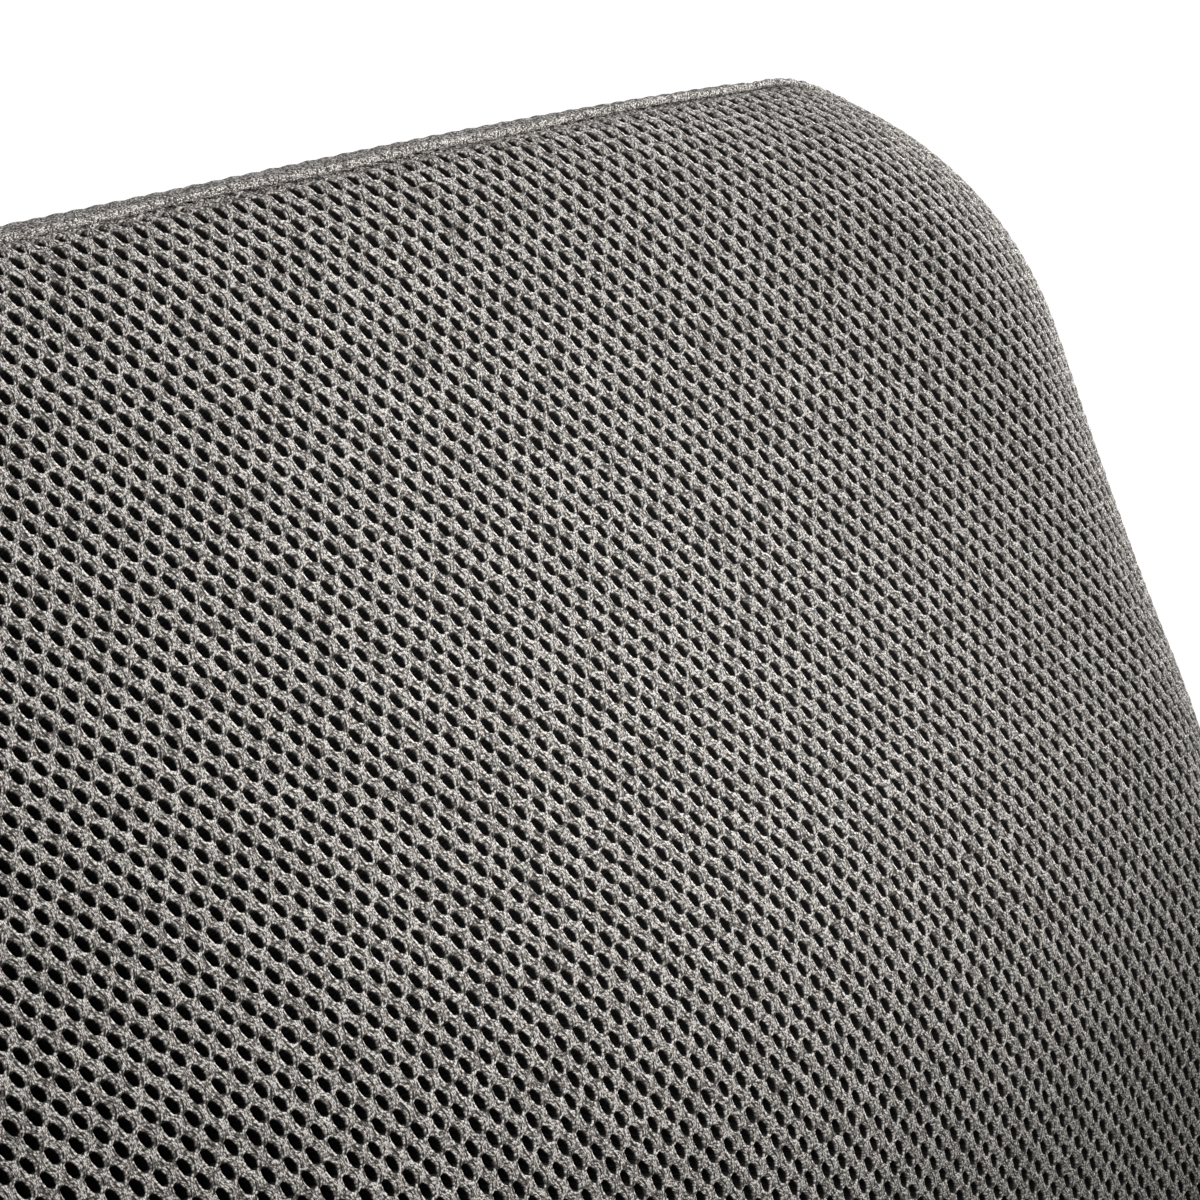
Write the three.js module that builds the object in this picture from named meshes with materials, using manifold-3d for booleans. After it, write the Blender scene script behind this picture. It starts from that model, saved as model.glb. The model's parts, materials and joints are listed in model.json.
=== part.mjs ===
// Lumbar support cushion: a moulded foam core in a liner and a zipped spacer-mesh cover,
// with a webbing strap and a side release buckle behind it.
// Millimetres, +Z up, front towards -Y. The finished group stands on Z = 0, centred on X and Y.
//
// Most shapes are worked out in cushion coordinates: x to the right, z up, and q, the distance
// forward of the plane of the back panel. Y is BACK_PLANE_Y - q.

import * as THREE from 'three';
import { mergeVertices } from 'three/addons/utils/BufferGeometryUtils.js';
import Module from 'manifold-3d';

const wasm = await Module();
wasm.setup();

// ---------------------------------------------------------------- driving dimensions
const WIDTH = 345;
const HEIGHT = 280;
const DEPTH = 108;               // back panel to the crest of the lumbar bulge
const CREST_HEIGHT = 156;        // of the crest above the underside
const CREST_RADIUS = 92;         // of the side profile, over the crest
const UPPER_LEAN = 16.2;         // degrees that the face leans back above the crest
const LOWER_LEAN = 18;           // degrees that it runs back below the crest
const SIDE_CROWN = 23;           // how far the bulge falls away towards each side
const CROWN_FADE = 142;          // height over which that crown dies out above and below the crest
const EDGE_STEP = 29;            // facet length along the straight edges of the outline

const TOP_CORNER_RADIUS = 47.5;  // of the outline seen from the front
const BOTTOM_CORNER_RADIUS = 48;
const SIDE_ROLL_RADIUS = 37;     // roll of the front panel round each side
const SIDE_ROLL_ANGLE = 78;
const END_ROLL_RADIUS = 30;      // roll of the front panel at the top and the underside
const END_ROLL_ANGLE = 25;
const ROLL_BLEND = [127, -22];   // in from each side, where the end's roll starts and would end turning into it
const BACK_ROLL_RADIUS = 7;      // roll of the back panel into the gusset
const TOP_BULGE = 3.6;           // crown of the gusset across its width
const SIDE_BULGE = 2;

const COVER_THICKNESS = 4;       // spacer mesh
const LINER_THICKNESS = 1.2;
const PIECE_GAP = 0.5;           // cover to liner, and liner to foam
const TOUCH_GAP = 0.3;           // between pieces that rest on each other
const LINER_MOUTH = [200, 8];    // slit that the foam goes in by

const SEAM_RADIUS = 1.05;        // rolled seam allowance
const SEAM_PROUD = 0.5;          // how far the seam stands out of the cover

const ZIP_HEIGHT = 44;           // zip line above the underside
const ZIP_LENGTH = 262;
const ZIP_TAPE = [11.5, 1];      // width, thickness
const ZIP_TAPE_DEPTH = 1.2;      // tape below the face of the back panel
const ZIP_COIL = [1.9, 1.8];     // width, thickness of one row of teeth
const ZIP_CHAIN_GAP = 0.8;       // half the gap between the two rows
const SLIDER_SIZE = [10, 8.8];   // length, width
const SLIDER_PLATE = 1;
const BRIDGE = { span: 5.4, width: 2.4, foot: 1, rise: 2, beam: 1 };
const PULL = { length: 22, width: 7.4, thickness: 1.4, hole: 4.6, bar: 1.3 };

const STRAP_HEIGHT = 156;        // strap's middle above the underside
const STRAP_WIDTH = 30;
const STRAP_THICKNESS = 1.6;
const STRAP_STANDOFF = 19.6;     // webbing's middle behind the back panel, along its flat run
const STRAP_END = 161;           // x of the sewn ends
const STRAP_SEWN = 26;           // length that is sewn down
const STRAP_RISE_END = 97;       // x where the webbing has reached its stand-off
const LOOP_RADIUS = 2;           // of the webbing's middle round a buckle bar
const STRAP_TAIL = 98;           // x of the end of the webbing's return run
const ELASTIC_TAIL = 62;         // x of the end of the elastic's return run
const STRAP_CLEARANCE = 0.8;     // between the strap's edges and the hardware round it
const PATCH = [26, 40, 1.2];     // length, height, thickness of the reinforcement over a sewn end

const BUCKLE_BAR_RADIUS = 0.9;
const BUCKLE_ARM = [2.6, 3.2];   // width, thickness of the arms that hold each bar
const BUCKLE_THICKNESS = 9;
const BUCKLE_WALL = 4;           // round the pocket's sides
const POCKET_HEIGHT = 4.6;
const FEMALE = { bar: -37, arm: 9, length: 34, pocket: 28, window: 17, windowEdge: 3 };
const MALE = { length: 10.4, arm: 10, thickness: 8, play: 0.6 };
const PRONG = {
  length: 24,
  height: 3.8,                   // through the buckle's thickness
  root: 8,                       // of its inner edge from the strap's middle line
  arm: 3.2,                      // width at the root
  shoulder: 2,                   // how far it stands out of the pocket, into the window
  press: 8,                      // length of the face that is pressed
  taper: 15,                     // from the shoulder to where it is back inside the pocket
  tip: [3.4, 2],                 // in from the pocket's wall, and width
};
const TONGUE = [20, 5];          // length, width of the guide between the prongs
const ADJUSTER_X = -80;
const ADJUSTER = { length: 12, wall: 3.4, plate: 1.4, layerGap: 0.4 };
const LABEL = { x: -112, top: 96, width: 30, drop: 20, thickness: 0.5 };

// ---------------------------------------------------------------- derived values
const HALF_WIDTH = WIDTH / 2;
const BACK_PLANE_Y = 0;
const LINER_INSET = COVER_THICKNESS + PIECE_GAP;
const FOAM_INSET = LINER_INSET + LINER_THICKNESS + PIECE_GAP;
const SEAM_CUT = SEAM_RADIUS + 2.5 * TOUCH_GAP;
const LOOP_Q = -STRAP_STANDOFF + LOOP_RADIUS;      // of each buckle bar's middle
const STRAP_HALF = STRAP_WIDTH / 2;
const SEWN_Q = -TOUCH_GAP - STRAP_THICKNESS / 2;   // of the webbing's middle where it is sewn down
const SEWN_START = STRAP_END - STRAP_SEWN;
const BUCKLE_HALF = STRAP_HALF + STRAP_CLEARANCE + BUCKLE_ARM[0];
const FEMALE_START = FEMALE.bar + FEMALE.arm;
const FEMALE_MOUTH = FEMALE_START + FEMALE.length;
const MALE_START = FEMALE_MOUTH + MALE.play;
const MALE_BAR = MALE_START + MALE.length + MALE.arm;
const POCKET_HALF = BUCKLE_HALF - BUCKLE_WALL;
const ZIP_OPENING = ZIP_CHAIN_GAP + ZIP_TAPE[0] + TOUCH_GAP;
const ZIP_STOP = 2.3;
const CHAIN_HALF = ZIP_LENGTH / 2 - ZIP_STOP - 2 * TOUCH_GAP;
const COIL_BACK = ZIP_TAPE_DEPTH - TOUCH_GAP;      // q of the teeth's inner face
const COIL_FACE = COIL_BACK - ZIP_COIL[1];
const SLIDER_X = -CHAIN_HALF + SLIDER_SIZE[0] / 2;
const SLIDER_FACE = COIL_FACE - TOUCH_GAP - SLIDER_PLATE;

const radians = THREE.MathUtils.degToRad;
const mix = THREE.MathUtils.lerp;
const smooth = THREE.MathUtils.smoothstep;

/** A point in row coordinates from cushion coordinates. */
const place = (x, q, z) => new THREE.Vector3(x, BACK_PLANE_Y - q, z);

// ---------------------------------------------------------------- the cushion's form

/** How far the face lies behind the crest at height z, from an arc and a straight run each way. */
function profileDrop(z) {
  const lean = radians(z > CREST_HEIGHT ? UPPER_LEAN : LOWER_LEAN);
  const away = Math.abs(z - CREST_HEIGHT);
  const arc = CREST_RADIUS * Math.sin(lean);
  if (away < arc) return CREST_RADIUS - Math.sqrt(CREST_RADIUS ** 2 - away ** 2);
  return CREST_RADIUS * (1 - Math.cos(lean)) + (away - arc) * Math.tan(lean);
}

/** Distance of the front face in front of the back panel, before its edges roll. */
function faceDepth(x, z) {
  const crown = SIDE_CROWN * (1 - smooth(Math.abs(z - CREST_HEIGHT), 0, CROWN_FADE));
  return DEPTH - profileDrop(z) - crown * (x / HALF_WIDTH) ** 2;
}

/** The outline seen from the front: points with their outward normals, anticlockwise. */
function outlineStations() {
  const stations = [];
  const corner = (cx, cz, radius, startAngle) => {
    const steps = 8;
    for (let i = 0; i <= steps; i += 1) {
      const angle = radians(startAngle + (90 * i) / steps);
      const normal = new THREE.Vector2(Math.cos(angle), Math.sin(angle));
      stations.push({ point: new THREE.Vector2(cx, cz).addScaledVector(normal, radius), normal });
    }
  };
  const edge = () => {
    const { point, normal } = stations[stations.length - 1];
    const along = new THREE.Vector2(-normal.y, normal.x);
    const run = Math.abs(normal.x) > 0.5
      ? HEIGHT - TOP_CORNER_RADIUS - BOTTOM_CORNER_RADIUS
      : WIDTH - 2 * (normal.y > 0 ? TOP_CORNER_RADIUS : BOTTOM_CORNER_RADIUS);
    const steps = Math.max(Math.round(run / EDGE_STEP), 1);
    for (let i = 1; i < steps; i += 1) {
      stations.push({ point: point.clone().addScaledVector(along, (run * i) / steps), normal });
    }
  };
  const [rt, rb] = [TOP_CORNER_RADIUS, BOTTOM_CORNER_RADIUS];
  corner(HALF_WIDTH - rt, HEIGHT - rt, rt, 0);
  edge();
  corner(-HALF_WIDTH + rt, HEIGHT - rt, rt, 90);
  edge();
  corner(-HALF_WIDTH + rb, rb, rb, 180);
  edge();
  corner(HALF_WIDTH - rb, rb, rb, 270);
  edge();
  return stations;
}

const STATIONS = outlineStations().map((station) => {
  const inFromSide = HALF_WIDTH - Math.abs(station.point.x);
  const sideways = 1 - smooth(inFromSide, ROLL_BLEND[1], ROLL_BLEND[0]);
  return {
    ...station,
    roll: mix(END_ROLL_RADIUS, SIDE_ROLL_RADIUS, sideways),
    rollAngle: radians(mix(END_ROLL_ANGLE, SIDE_ROLL_ANGLE, sideways)),
    bulge: station.normal.y < -0.1 ? 0 : mix(TOP_BULGE, SIDE_BULGE, sideways),
  };
});

const CENTRE = new THREE.Vector2(0, HEIGHT / 2);

/** Point of the front roll at a station: inset from the skin, turned by angle from the face. */
function rollPoint(station, inset, angle) {
  const { point, normal, roll, rollAngle } = station;
  const out = -roll * Math.sin(rollAngle) + (roll - inset) * Math.sin(angle);
  const at = point.clone().addScaledVector(normal, out);
  return place(at.x, faceDepth(at.x, at.y) - roll + (roll - inset) * Math.cos(angle), at.y);
}

/** Angle at which the inset front roll meets the inset gusset. */
function seamAngle(station, inset) {
  return Math.asin((station.roll * Math.sin(station.rollAngle) - inset) / (station.roll - inset));
}

/** Where the front seam runs, on the skin. */
const frontSeamPoint = (station) => rollPoint(station, 0, station.rollAngle);

/** Where the back seam runs, on the skin. */
function backSeamPoint({ point, normal }) {
  const out = BACK_ROLL_RADIUS * (Math.SQRT1_2 - 1);
  const at = point.clone().addScaledVector(normal, out);
  return place(at.x, -out, at.y);
}

/** Rings of points, front centre to back centre, of the closed form inset from the skin. */
function formRings(inset) {
  const rings = [];
  const ring = (pointAt) => rings.push(STATIONS.map(pointAt));
  for (const share of [0.25, 0.5, 0.75]) {
    ring((station) => {
      const reach = station.roll * Math.sin(station.rollAngle);
      const at = station.point.clone().addScaledVector(station.normal, -reach).lerp(CENTRE, 1 - share);
      return place(at.x, faceDepth(at.x, at.y) - inset, at.y);
    });
  }
  for (const share of [0, 0.25, 0.5, 0.75, 1]) {
    ring((station) => rollPoint(station, inset, seamAngle(station, inset) * share));
  }
  for (const share of [0.3, 0.65, 1]) {
    ring((station) => {
      const start = BACK_PLANE_Y - rollPoint(station, inset, seamAngle(station, inset)).y;
      const bulge = station.bulge * 4 * share * (1 - share);
      const at = station.point.clone().addScaledVector(station.normal, bulge - inset);
      return place(at.x, mix(start, BACK_ROLL_RADIUS, share), at.y);
    });
  }
  for (const angle of [45, 90]) {
    ring((station) => {
      const radius = Math.max(BACK_ROLL_RADIUS - inset, 0.8);
      const turned = radians(angle);
      const out = radius * Math.cos(turned) - radius - inset;
      const at = station.point.clone().addScaledVector(station.normal, out);
      return place(at.x, inset + radius - radius * Math.sin(turned), at.y);
    });
  }
  ring((station) => {
    const at = station.point.clone().lerp(CENTRE, 0.5);
    return place(at.x, inset, at.y);
  });
  return rings;
}

/** A closed mesh over rings of points, with a pole at each end. */
function ringGeometry(rings, startPole, endPole) {
  const count = rings[0].length;
  const points = [startPole, ...rings.flat(), endPole];
  const at = (ring, i) => 1 + ring * count + (i % count);
  const index = [];
  for (let i = 0; i < count; i += 1) {
    index.push(0, at(0, i), at(0, i + 1));
    for (let ring = 0; ring < rings.length - 1; ring += 1) {
      const [a, b, c, d] = [at(ring, i), at(ring, i + 1), at(ring + 1, i + 1), at(ring + 1, i)];
      index.push(a, d, c, a, c, b);
    }
    index.push(points.length - 1, at(rings.length - 1, i + 1), at(rings.length - 1, i));
  }
  const geometry = new THREE.BufferGeometry();
  geometry.setAttribute('position', new THREE.Float32BufferAttribute(points.flatMap((p) => p.toArray()), 3));
  geometry.setIndex(index);
  return geometry;
}

function formGeometry(inset) {
  const front = place(CENTRE.x, faceDepth(CENTRE.x, CENTRE.y) - inset, CENTRE.y);
  return ringGeometry(formRings(inset), front, place(CENTRE.x, inset, CENTRE.y));
}

/** A closed round rope along a closed line of points, as a seam is. */
function ropeGeometry(centres, outwards, radius, sides) {
  const count = centres.length;
  const positions = [];
  const index = [];
  centres.forEach((centre, i) => {
    const along = centres[(i + 1) % count].clone().sub(centres[(i + count - 1) % count]).normalize();
    const out = outwards[i].clone().addScaledVector(along, -outwards[i].dot(along)).normalize();
    const across = along.clone().cross(out);
    for (let k = 0; k < sides; k += 1) {
      const angle = (2 * Math.PI * (k + 0.5)) / sides;
      const corner = centre.clone()
        .addScaledVector(out, radius * Math.cos(angle))
        .addScaledVector(across, radius * Math.sin(angle));
      positions.push(...corner.toArray());
    }
  });
  for (let i = 0; i < count; i += 1) {
    for (let k = 0; k < sides; k += 1) {
      const [a, b] = [i * sides + k, i * sides + ((k + 1) % sides)];
      const [c, d] = [((i + 1) % count) * sides + ((k + 1) % sides), ((i + 1) % count) * sides + k];
      index.push(a, b, c, a, c, d);
    }
  }
  const geometry = new THREE.BufferGeometry();
  geometry.setAttribute('position', new THREE.Float32BufferAttribute(positions, 3));
  geometry.setIndex(index);
  return geometry;
}

// ---------------------------------------------------------------- solids

function toSolid(geometry) {
  const bare = geometry.clone();
  bare.deleteAttribute('normal');
  bare.deleteAttribute('uv');
  const merged = mergeVertices(bare, 1e-4);
  return new wasm.Manifold(new wasm.Mesh({
    numProp: 3,
    vertProperties: new Float32Array(merged.attributes.position.array),
    triVerts: new Uint32Array(merged.index.array),
  }));
}

function toGeometry(solid) {
  const mesh = solid.getMesh();
  const geometry = new THREE.BufferGeometry();
  geometry.setAttribute('position', new THREE.BufferAttribute(new Float32Array(mesh.vertProperties), 3));
  geometry.setIndex(new THREE.BufferAttribute(new Uint32Array(mesh.triVerts), 1));
  geometry.computeVertexNormals();
  return geometry;
}

const join = (solids) => solids.reduce((whole, solid) => whole.add(solid));

/** A block between two corners given in cushion coordinates (x, q, z). */
function block([x0, x1], [q0, q1], [z0, z1]) {
  const size = [x1 - x0, q1 - q0, z1 - z0].map(Math.abs);
  const geometry = new THREE.BoxGeometry(...size);
  geometry.translate((x0 + x1) / 2, BACK_PLANE_Y - (q0 + q1) / 2, (z0 + z1) / 2);
  return toSolid(geometry);
}

/** A band of webbing that follows a line of (x, q) points, standing STRAP_WIDTH high. */
function webbing(line, thickness) {
  const points = line.map(([x, q]) => new THREE.Vector2(x, BACK_PLANE_Y - q));
  const side = (sign) => points.map((point, i) => {
    const before = points[Math.max(i - 1, 0)];
    const after = points[Math.min(i + 1, points.length - 1)];
    const along = after.clone().sub(before).normalize();
    return new THREE.Vector2(point.x - along.y * sign, point.y + along.x * sign);
  });
  const half = thickness / 2;
  const outline = [
    ...side(1).map((p, i) => p.sub(points[i]).multiplyScalar(half).add(points[i])),
    ...side(-1).map((p, i) => p.sub(points[i]).multiplyScalar(half).add(points[i])).reverse(),
  ];
  const geometry = new THREE.ExtrudeGeometry(new THREE.Shape(outline), {
    depth: STRAP_WIDTH, bevelEnabled: false,
  });
  geometry.translate(0, 0, STRAP_HEIGHT - STRAP_HALF);
  return geometry;
}

/** Line of a strap on one side: sewn end, rise, flat run, round its buckle bar and back. */
function strapLine(side, barX, tailX) {
  const line = [[side * STRAP_END, SEWN_Q], [side * (SEWN_START + 4), SEWN_Q]];
  const steps = 10;
  for (let i = 0; i <= steps; i += 1) {
    const share = i / steps;
    line.push([
      side * mix(SEWN_START, STRAP_RISE_END, share),
      mix(SEWN_Q, -STRAP_STANDOFF, smooth(share, 0, 1)),
    ]);
  }
  const turns = 8;
  for (let i = 0; i <= turns; i += 1) {
    const angle = Math.PI * (i / turns - 0.5);
    line.push([barX - side * LOOP_RADIUS * Math.cos(angle), LOOP_Q + LOOP_RADIUS * Math.sin(angle)]);
  }
  line.push([side * tailX, LOOP_Q + LOOP_RADIUS]);
  return line;
}

/** A round bar along Z at the buckles' bar line. */
function buckleBar(x) {
  const length = 2 * (STRAP_HALF + STRAP_CLEARANCE + BUCKLE_ARM[0] / 2);
  const geometry = new THREE.CylinderGeometry(BUCKLE_BAR_RADIUS, BUCKLE_BAR_RADIUS, length, 10);
  geometry.rotateX(Math.PI / 2);
  geometry.translate(x, BACK_PLANE_Y - LOOP_Q, STRAP_HEIGHT);
  return toSolid(geometry);
}

/** The pair of arms that carry a buckle's bar, from x0 to x1. */
function buckleArms(x0, x1) {
  const [width, thickness] = BUCKLE_ARM;
  return [-1, 1].map((sign) => block(
    [x0, x1],
    [LOOP_Q - thickness / 2, LOOP_Q + thickness / 2],
    [STRAP_HEIGHT + sign * (BUCKLE_HALF - width), STRAP_HEIGHT + sign * BUCKLE_HALF],
  ));
}

/** A block centred on the strap line: half sizes in q and z. */
function strapBlock([x0, x1], halfThickness, halfHeight) {
  return block(
    [x0, x1],
    [LOOP_Q - halfThickness, LOOP_Q + halfThickness],
    [STRAP_HEIGHT - halfHeight, STRAP_HEIGHT + halfHeight],
  );
}

// ---------------------------------------------------------------- the scene graph

const cushion = new THREE.Group();

function addPiece(name, shape, color, roughness, metalness = 0) {
  const geometry = shape.isBufferGeometry ? shape : toGeometry(shape);
  const material = new THREE.MeshStandardMaterial({ color, roughness, metalness });
  const mesh = new THREE.Mesh(geometry, material);
  mesh.name = name;
  cushion.add(mesh);
  return mesh;
}

const COLOUR = {
  foam: 0xe9e2cf, liner: 0xf1f0ec, front: 0x8a8583, side: 0x7f7a78, back: 0x6f6b69, seam: 0xa09b98,
  web: 0x3a3838, plastic: 0x1c1c1d, metal: 0x6c6a68, label: 0xe8e6e1,
};

// Foam core and its liner, which is open underneath where the foam goes in.
addPiece('foam_core', formGeometry(FOAM_INSET), COLOUR.foam, 0.95);

const linerMouth = block(
  [-LINER_MOUTH[0] / 2, LINER_MOUTH[0] / 2],
  [DEPTH / 4 - LINER_MOUTH[1] / 2, DEPTH / 4 + LINER_MOUTH[1] / 2],
  [0, FOAM_INSET + 1],
);
addPiece(
  'inner_liner',
  toSolid(formGeometry(LINER_INSET))
    .subtract(toSolid(formGeometry(LINER_INSET + LINER_THICKNESS)))
    .subtract(linerMouth),
  COLOUR.liner, 0.9,
);

// Cover: one skin of spacer mesh, parted along its seams and at the zip.
const skin = toSolid(formGeometry(0)).subtract(toSolid(formGeometry(COVER_THICKNESS)));

/** Everything on one side of a seam: a cone from the form's axis out through the seam's line. */
function besideSeam(seamPoint, axisDepth, capDepth, shift) {
  const apex = place(CENTRE.x, axisDepth + shift, CENTRE.y);
  const reach = 1.4;
  const seam = STATIONS.map(seamPoint);
  const rim = seam.map((point, i) => {
    const before = seam[(i + seam.length - 1) % seam.length];
    const along = seam[(i + 1) % seam.length].clone().sub(before).normalize();
    const level = Math.abs(point.clone().sub(apex).cross(along).normalize().y);
    return new THREE.Vector3(point.x, point.y - shift / level, point.z)
      .sub(apex).multiplyScalar(reach).add(apex);
  });
  const cap = rim.map((point) => new THREE.Vector3(point.x, BACK_PLANE_Y - capDepth, point.z));
  const rings = capDepth > 0 ? [cap, rim] : [rim, cap];
  const capPole = place(CENTRE.x, capDepth, CENTRE.y);
  return toSolid(ringGeometry(rings, ...(capDepth > 0 ? [capPole, apex] : [apex, capPole])));
}

const FRONT_AXIS_DEPTH = DEPTH * 0.4;
const BACK_AXIS_DEPTH = DEPTH * 0.55;
const [FRONT_CAP, BACK_CAP] = [3 * DEPTH, -DEPTH];
const frontOfSeam = besideSeam(frontSeamPoint, FRONT_AXIS_DEPTH, FRONT_CAP, SEAM_CUT);
const backOfFrontSeam = skin.subtract(
  besideSeam(frontSeamPoint, FRONT_AXIS_DEPTH, FRONT_CAP, -SEAM_CUT),
);
const behindSeam = besideSeam(backSeamPoint, BACK_AXIS_DEPTH, BACK_CAP, -SEAM_CUT);
const backPanel = backOfFrontSeam.intersect(behindSeam);
const gusset = backOfFrontSeam.subtract(
  besideSeam(backSeamPoint, BACK_AXIS_DEPTH, BACK_CAP, SEAM_CUT),
);
addPiece('cover_front_panel', skin.intersect(frontOfSeam), COLOUR.front, 0.9);
addPiece('cover_gusset', gusset, COLOUR.side, 0.9);

// The back panel is in two along the zip line, and open where the zip is sewn in.
const beyondSkin = [-COVER_THICKNESS, 2 * FOAM_INSET];
const zipOpening = block(
  [-ZIP_LENGTH / 2, ZIP_LENGTH / 2], beyondSkin, [ZIP_HEIGHT - ZIP_OPENING, ZIP_HEIGHT + ZIP_OPENING],
);
const aboveZip = block(
  [-WIDTH, WIDTH], beyondSkin, [ZIP_HEIGHT + TOUCH_GAP / 2, HEIGHT],
).subtract(zipOpening);
const belowZip = block(
  [-WIDTH, WIDTH], beyondSkin, [0, ZIP_HEIGHT - TOUCH_GAP / 2],
).subtract(zipOpening);
addPiece('cover_back_upper', backPanel.intersect(aboveZip), COLOUR.back, 0.9);
addPiece('cover_back_lower', backPanel.intersect(belowZip), COLOUR.back, 0.9);

/** Rolled seam allowance along a seam; under the cushion it sits back out of the way. */
function seamRope(seamPoint) {
  const outwards = STATIONS.map(({ normal }) => new THREE.Vector3(normal.x, 0, normal.y));
  const centres = STATIONS.map((station, i) => {
    const under = Math.max(-station.normal.y, 0);
    const proud = mix(SEAM_PROUD, -SEAM_RADIUS - TOUCH_GAP, under);
    return seamPoint(station).addScaledVector(outwards[i], proud);
  });
  return ropeGeometry(centres, outwards, SEAM_RADIUS, 6);
}
addPiece('front_seam', seamRope(frontSeamPoint), COLOUR.seam, 0.85);
addPiece('back_seam', seamRope(backSeamPoint), COLOUR.seam, 0.85);

// Zip: tapes, teeth and stops across the back panel.
for (const [name, sign] of [['upper', 1], ['lower', -1]]) {
  const band = (width) => [ZIP_HEIGHT + sign * ZIP_CHAIN_GAP, ZIP_HEIGHT + sign * (ZIP_CHAIN_GAP + width)];
  const tapeHalf = ZIP_LENGTH / 2 - TOUCH_GAP;
  addPiece(
    `zip_tape_${name}`,
    block([-tapeHalf, tapeHalf], [ZIP_TAPE_DEPTH, ZIP_TAPE_DEPTH + ZIP_TAPE[1]], band(ZIP_TAPE[0])),
    COLOUR.web, 0.85,
  );
  addPiece(
    `zip_coil_${name}`,
    block([-CHAIN_HALF, CHAIN_HALF], [COIL_FACE, COIL_BACK], band(ZIP_COIL[0])),
    COLOUR.plastic, 0.5,
  );
}
const stopHalf = ZIP_CHAIN_GAP + ZIP_COIL[0];
for (const [name, sign] of [['top', -1], ['bottom', 1]]) {
  const near = sign * (CHAIN_HALF + TOUCH_GAP);
  addPiece(
    `zip_${name}_stop`,
    block(
      [near, near + sign * ZIP_STOP],
      [COIL_FACE, COIL_BACK],
      [ZIP_HEIGHT - stopHalf, ZIP_HEIGHT + stopHalf],
    ),
    COLOUR.metal, 0.4, 0.8,
  );
}

// Slider: a plate each side of the chain, joined by a post, with a bridge for the pull.
const sliderHalf = SLIDER_SIZE[0] / 2;
const flangeInner = stopHalf + TOUCH_GAP;
const underTape = ZIP_TAPE_DEPTH + ZIP_TAPE[1] + TOUCH_GAP;
const chainZ = (low, high) => [ZIP_HEIGHT + low, ZIP_HEIGHT + high];
const sliderX = (low, high) => [SLIDER_X + low, SLIDER_X + high];
const plateBack = SLIDER_FACE + SLIDER_PLATE;
const bridgeTop = SLIDER_FACE - BRIDGE.rise;
const bridgeHalf = BRIDGE.span / 2;
addPiece('zip_slider', join([
  block(sliderX(-sliderHalf, sliderHalf), [SLIDER_FACE, plateBack],
    chainZ(-SLIDER_SIZE[1] / 2, SLIDER_SIZE[1] / 2)),
  block(sliderX(-sliderHalf, sliderHalf), [underTape, underTape + SLIDER_PLATE],
    chainZ(-flangeInner, flangeInner)),
  block(sliderX(sliderHalf - 2, sliderHalf), [SLIDER_FACE, underTape + SLIDER_PLATE],
    chainZ(-ZIP_CHAIN_GAP + TOUCH_GAP, ZIP_CHAIN_GAP - TOUCH_GAP)),
  ...[-1, 1].map((sign) => block(sliderX(-sliderHalf, sliderHalf), [SLIDER_FACE, COIL_BACK],
    chainZ(sign * flangeInner, (sign * SLIDER_SIZE[1]) / 2))),
  ...[-1, 1].map((sign) => block(sliderX(sign * bridgeHalf, sign * (bridgeHalf - BRIDGE.foot)),
    [bridgeTop - BRIDGE.beam, plateBack], chainZ(-BRIDGE.width / 2, BRIDGE.width / 2))),
  block(sliderX(-bridgeHalf, bridgeHalf), [bridgeTop - BRIDGE.beam, bridgeTop],
    chainZ(-BRIDGE.width / 2, BRIDGE.width / 2)),
]), COLOUR.metal, 0.35, 0.9);

// Pull: its bar runs through the bridge, along Z.
const pullQ = SLIDER_FACE - BRIDGE.rise / 2;
const pullBand = [pullQ - PULL.thickness / 2, pullQ + PULL.thickness / 2];
const pullHole = block(
  sliderX(PULL.bar / 2, PULL.bar / 2 + PULL.hole),
  [pullQ - PULL.thickness, pullQ + PULL.thickness],
  chainZ(-BRIDGE.width / 2 - TOUCH_GAP, BRIDGE.width / 2 + TOUCH_GAP),
);
addPiece(
  'zip_pull',
  block(sliderX(-PULL.bar / 2, PULL.length), pullBand, chainZ(-PULL.width / 2, PULL.width / 2))
    .subtract(pullHole),
  COLOUR.metal, 0.35, 0.9,
);

// Straps, sewn to the back panel near its side seams, and a patch over each sewn end.
addPiece('strap_left', webbing(strapLine(-1, FEMALE.bar, STRAP_TAIL), STRAP_THICKNESS), COLOUR.web, 0.85);
addPiece('strap_right', webbing(strapLine(1, MALE_BAR, ELASTIC_TAIL), STRAP_THICKNESS), COLOUR.web, 0.85);
const patchFace = SEWN_Q - STRAP_THICKNESS / 2 - TOUCH_GAP;
for (const [name, sign] of [['left', -1], ['right', 1]]) {
  addPiece(
    `strap_patch_${name}`,
    block(
      [sign * (SEWN_START + TOUCH_GAP), sign * (SEWN_START + TOUCH_GAP + PATCH[0])],
      [patchFace - PATCH[2], patchFace],
      [STRAP_HEIGHT - PATCH[1] / 2, STRAP_HEIGHT + PATCH[1] / 2],
    ),
    COLOUR.web, 0.85,
  );
}

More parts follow.
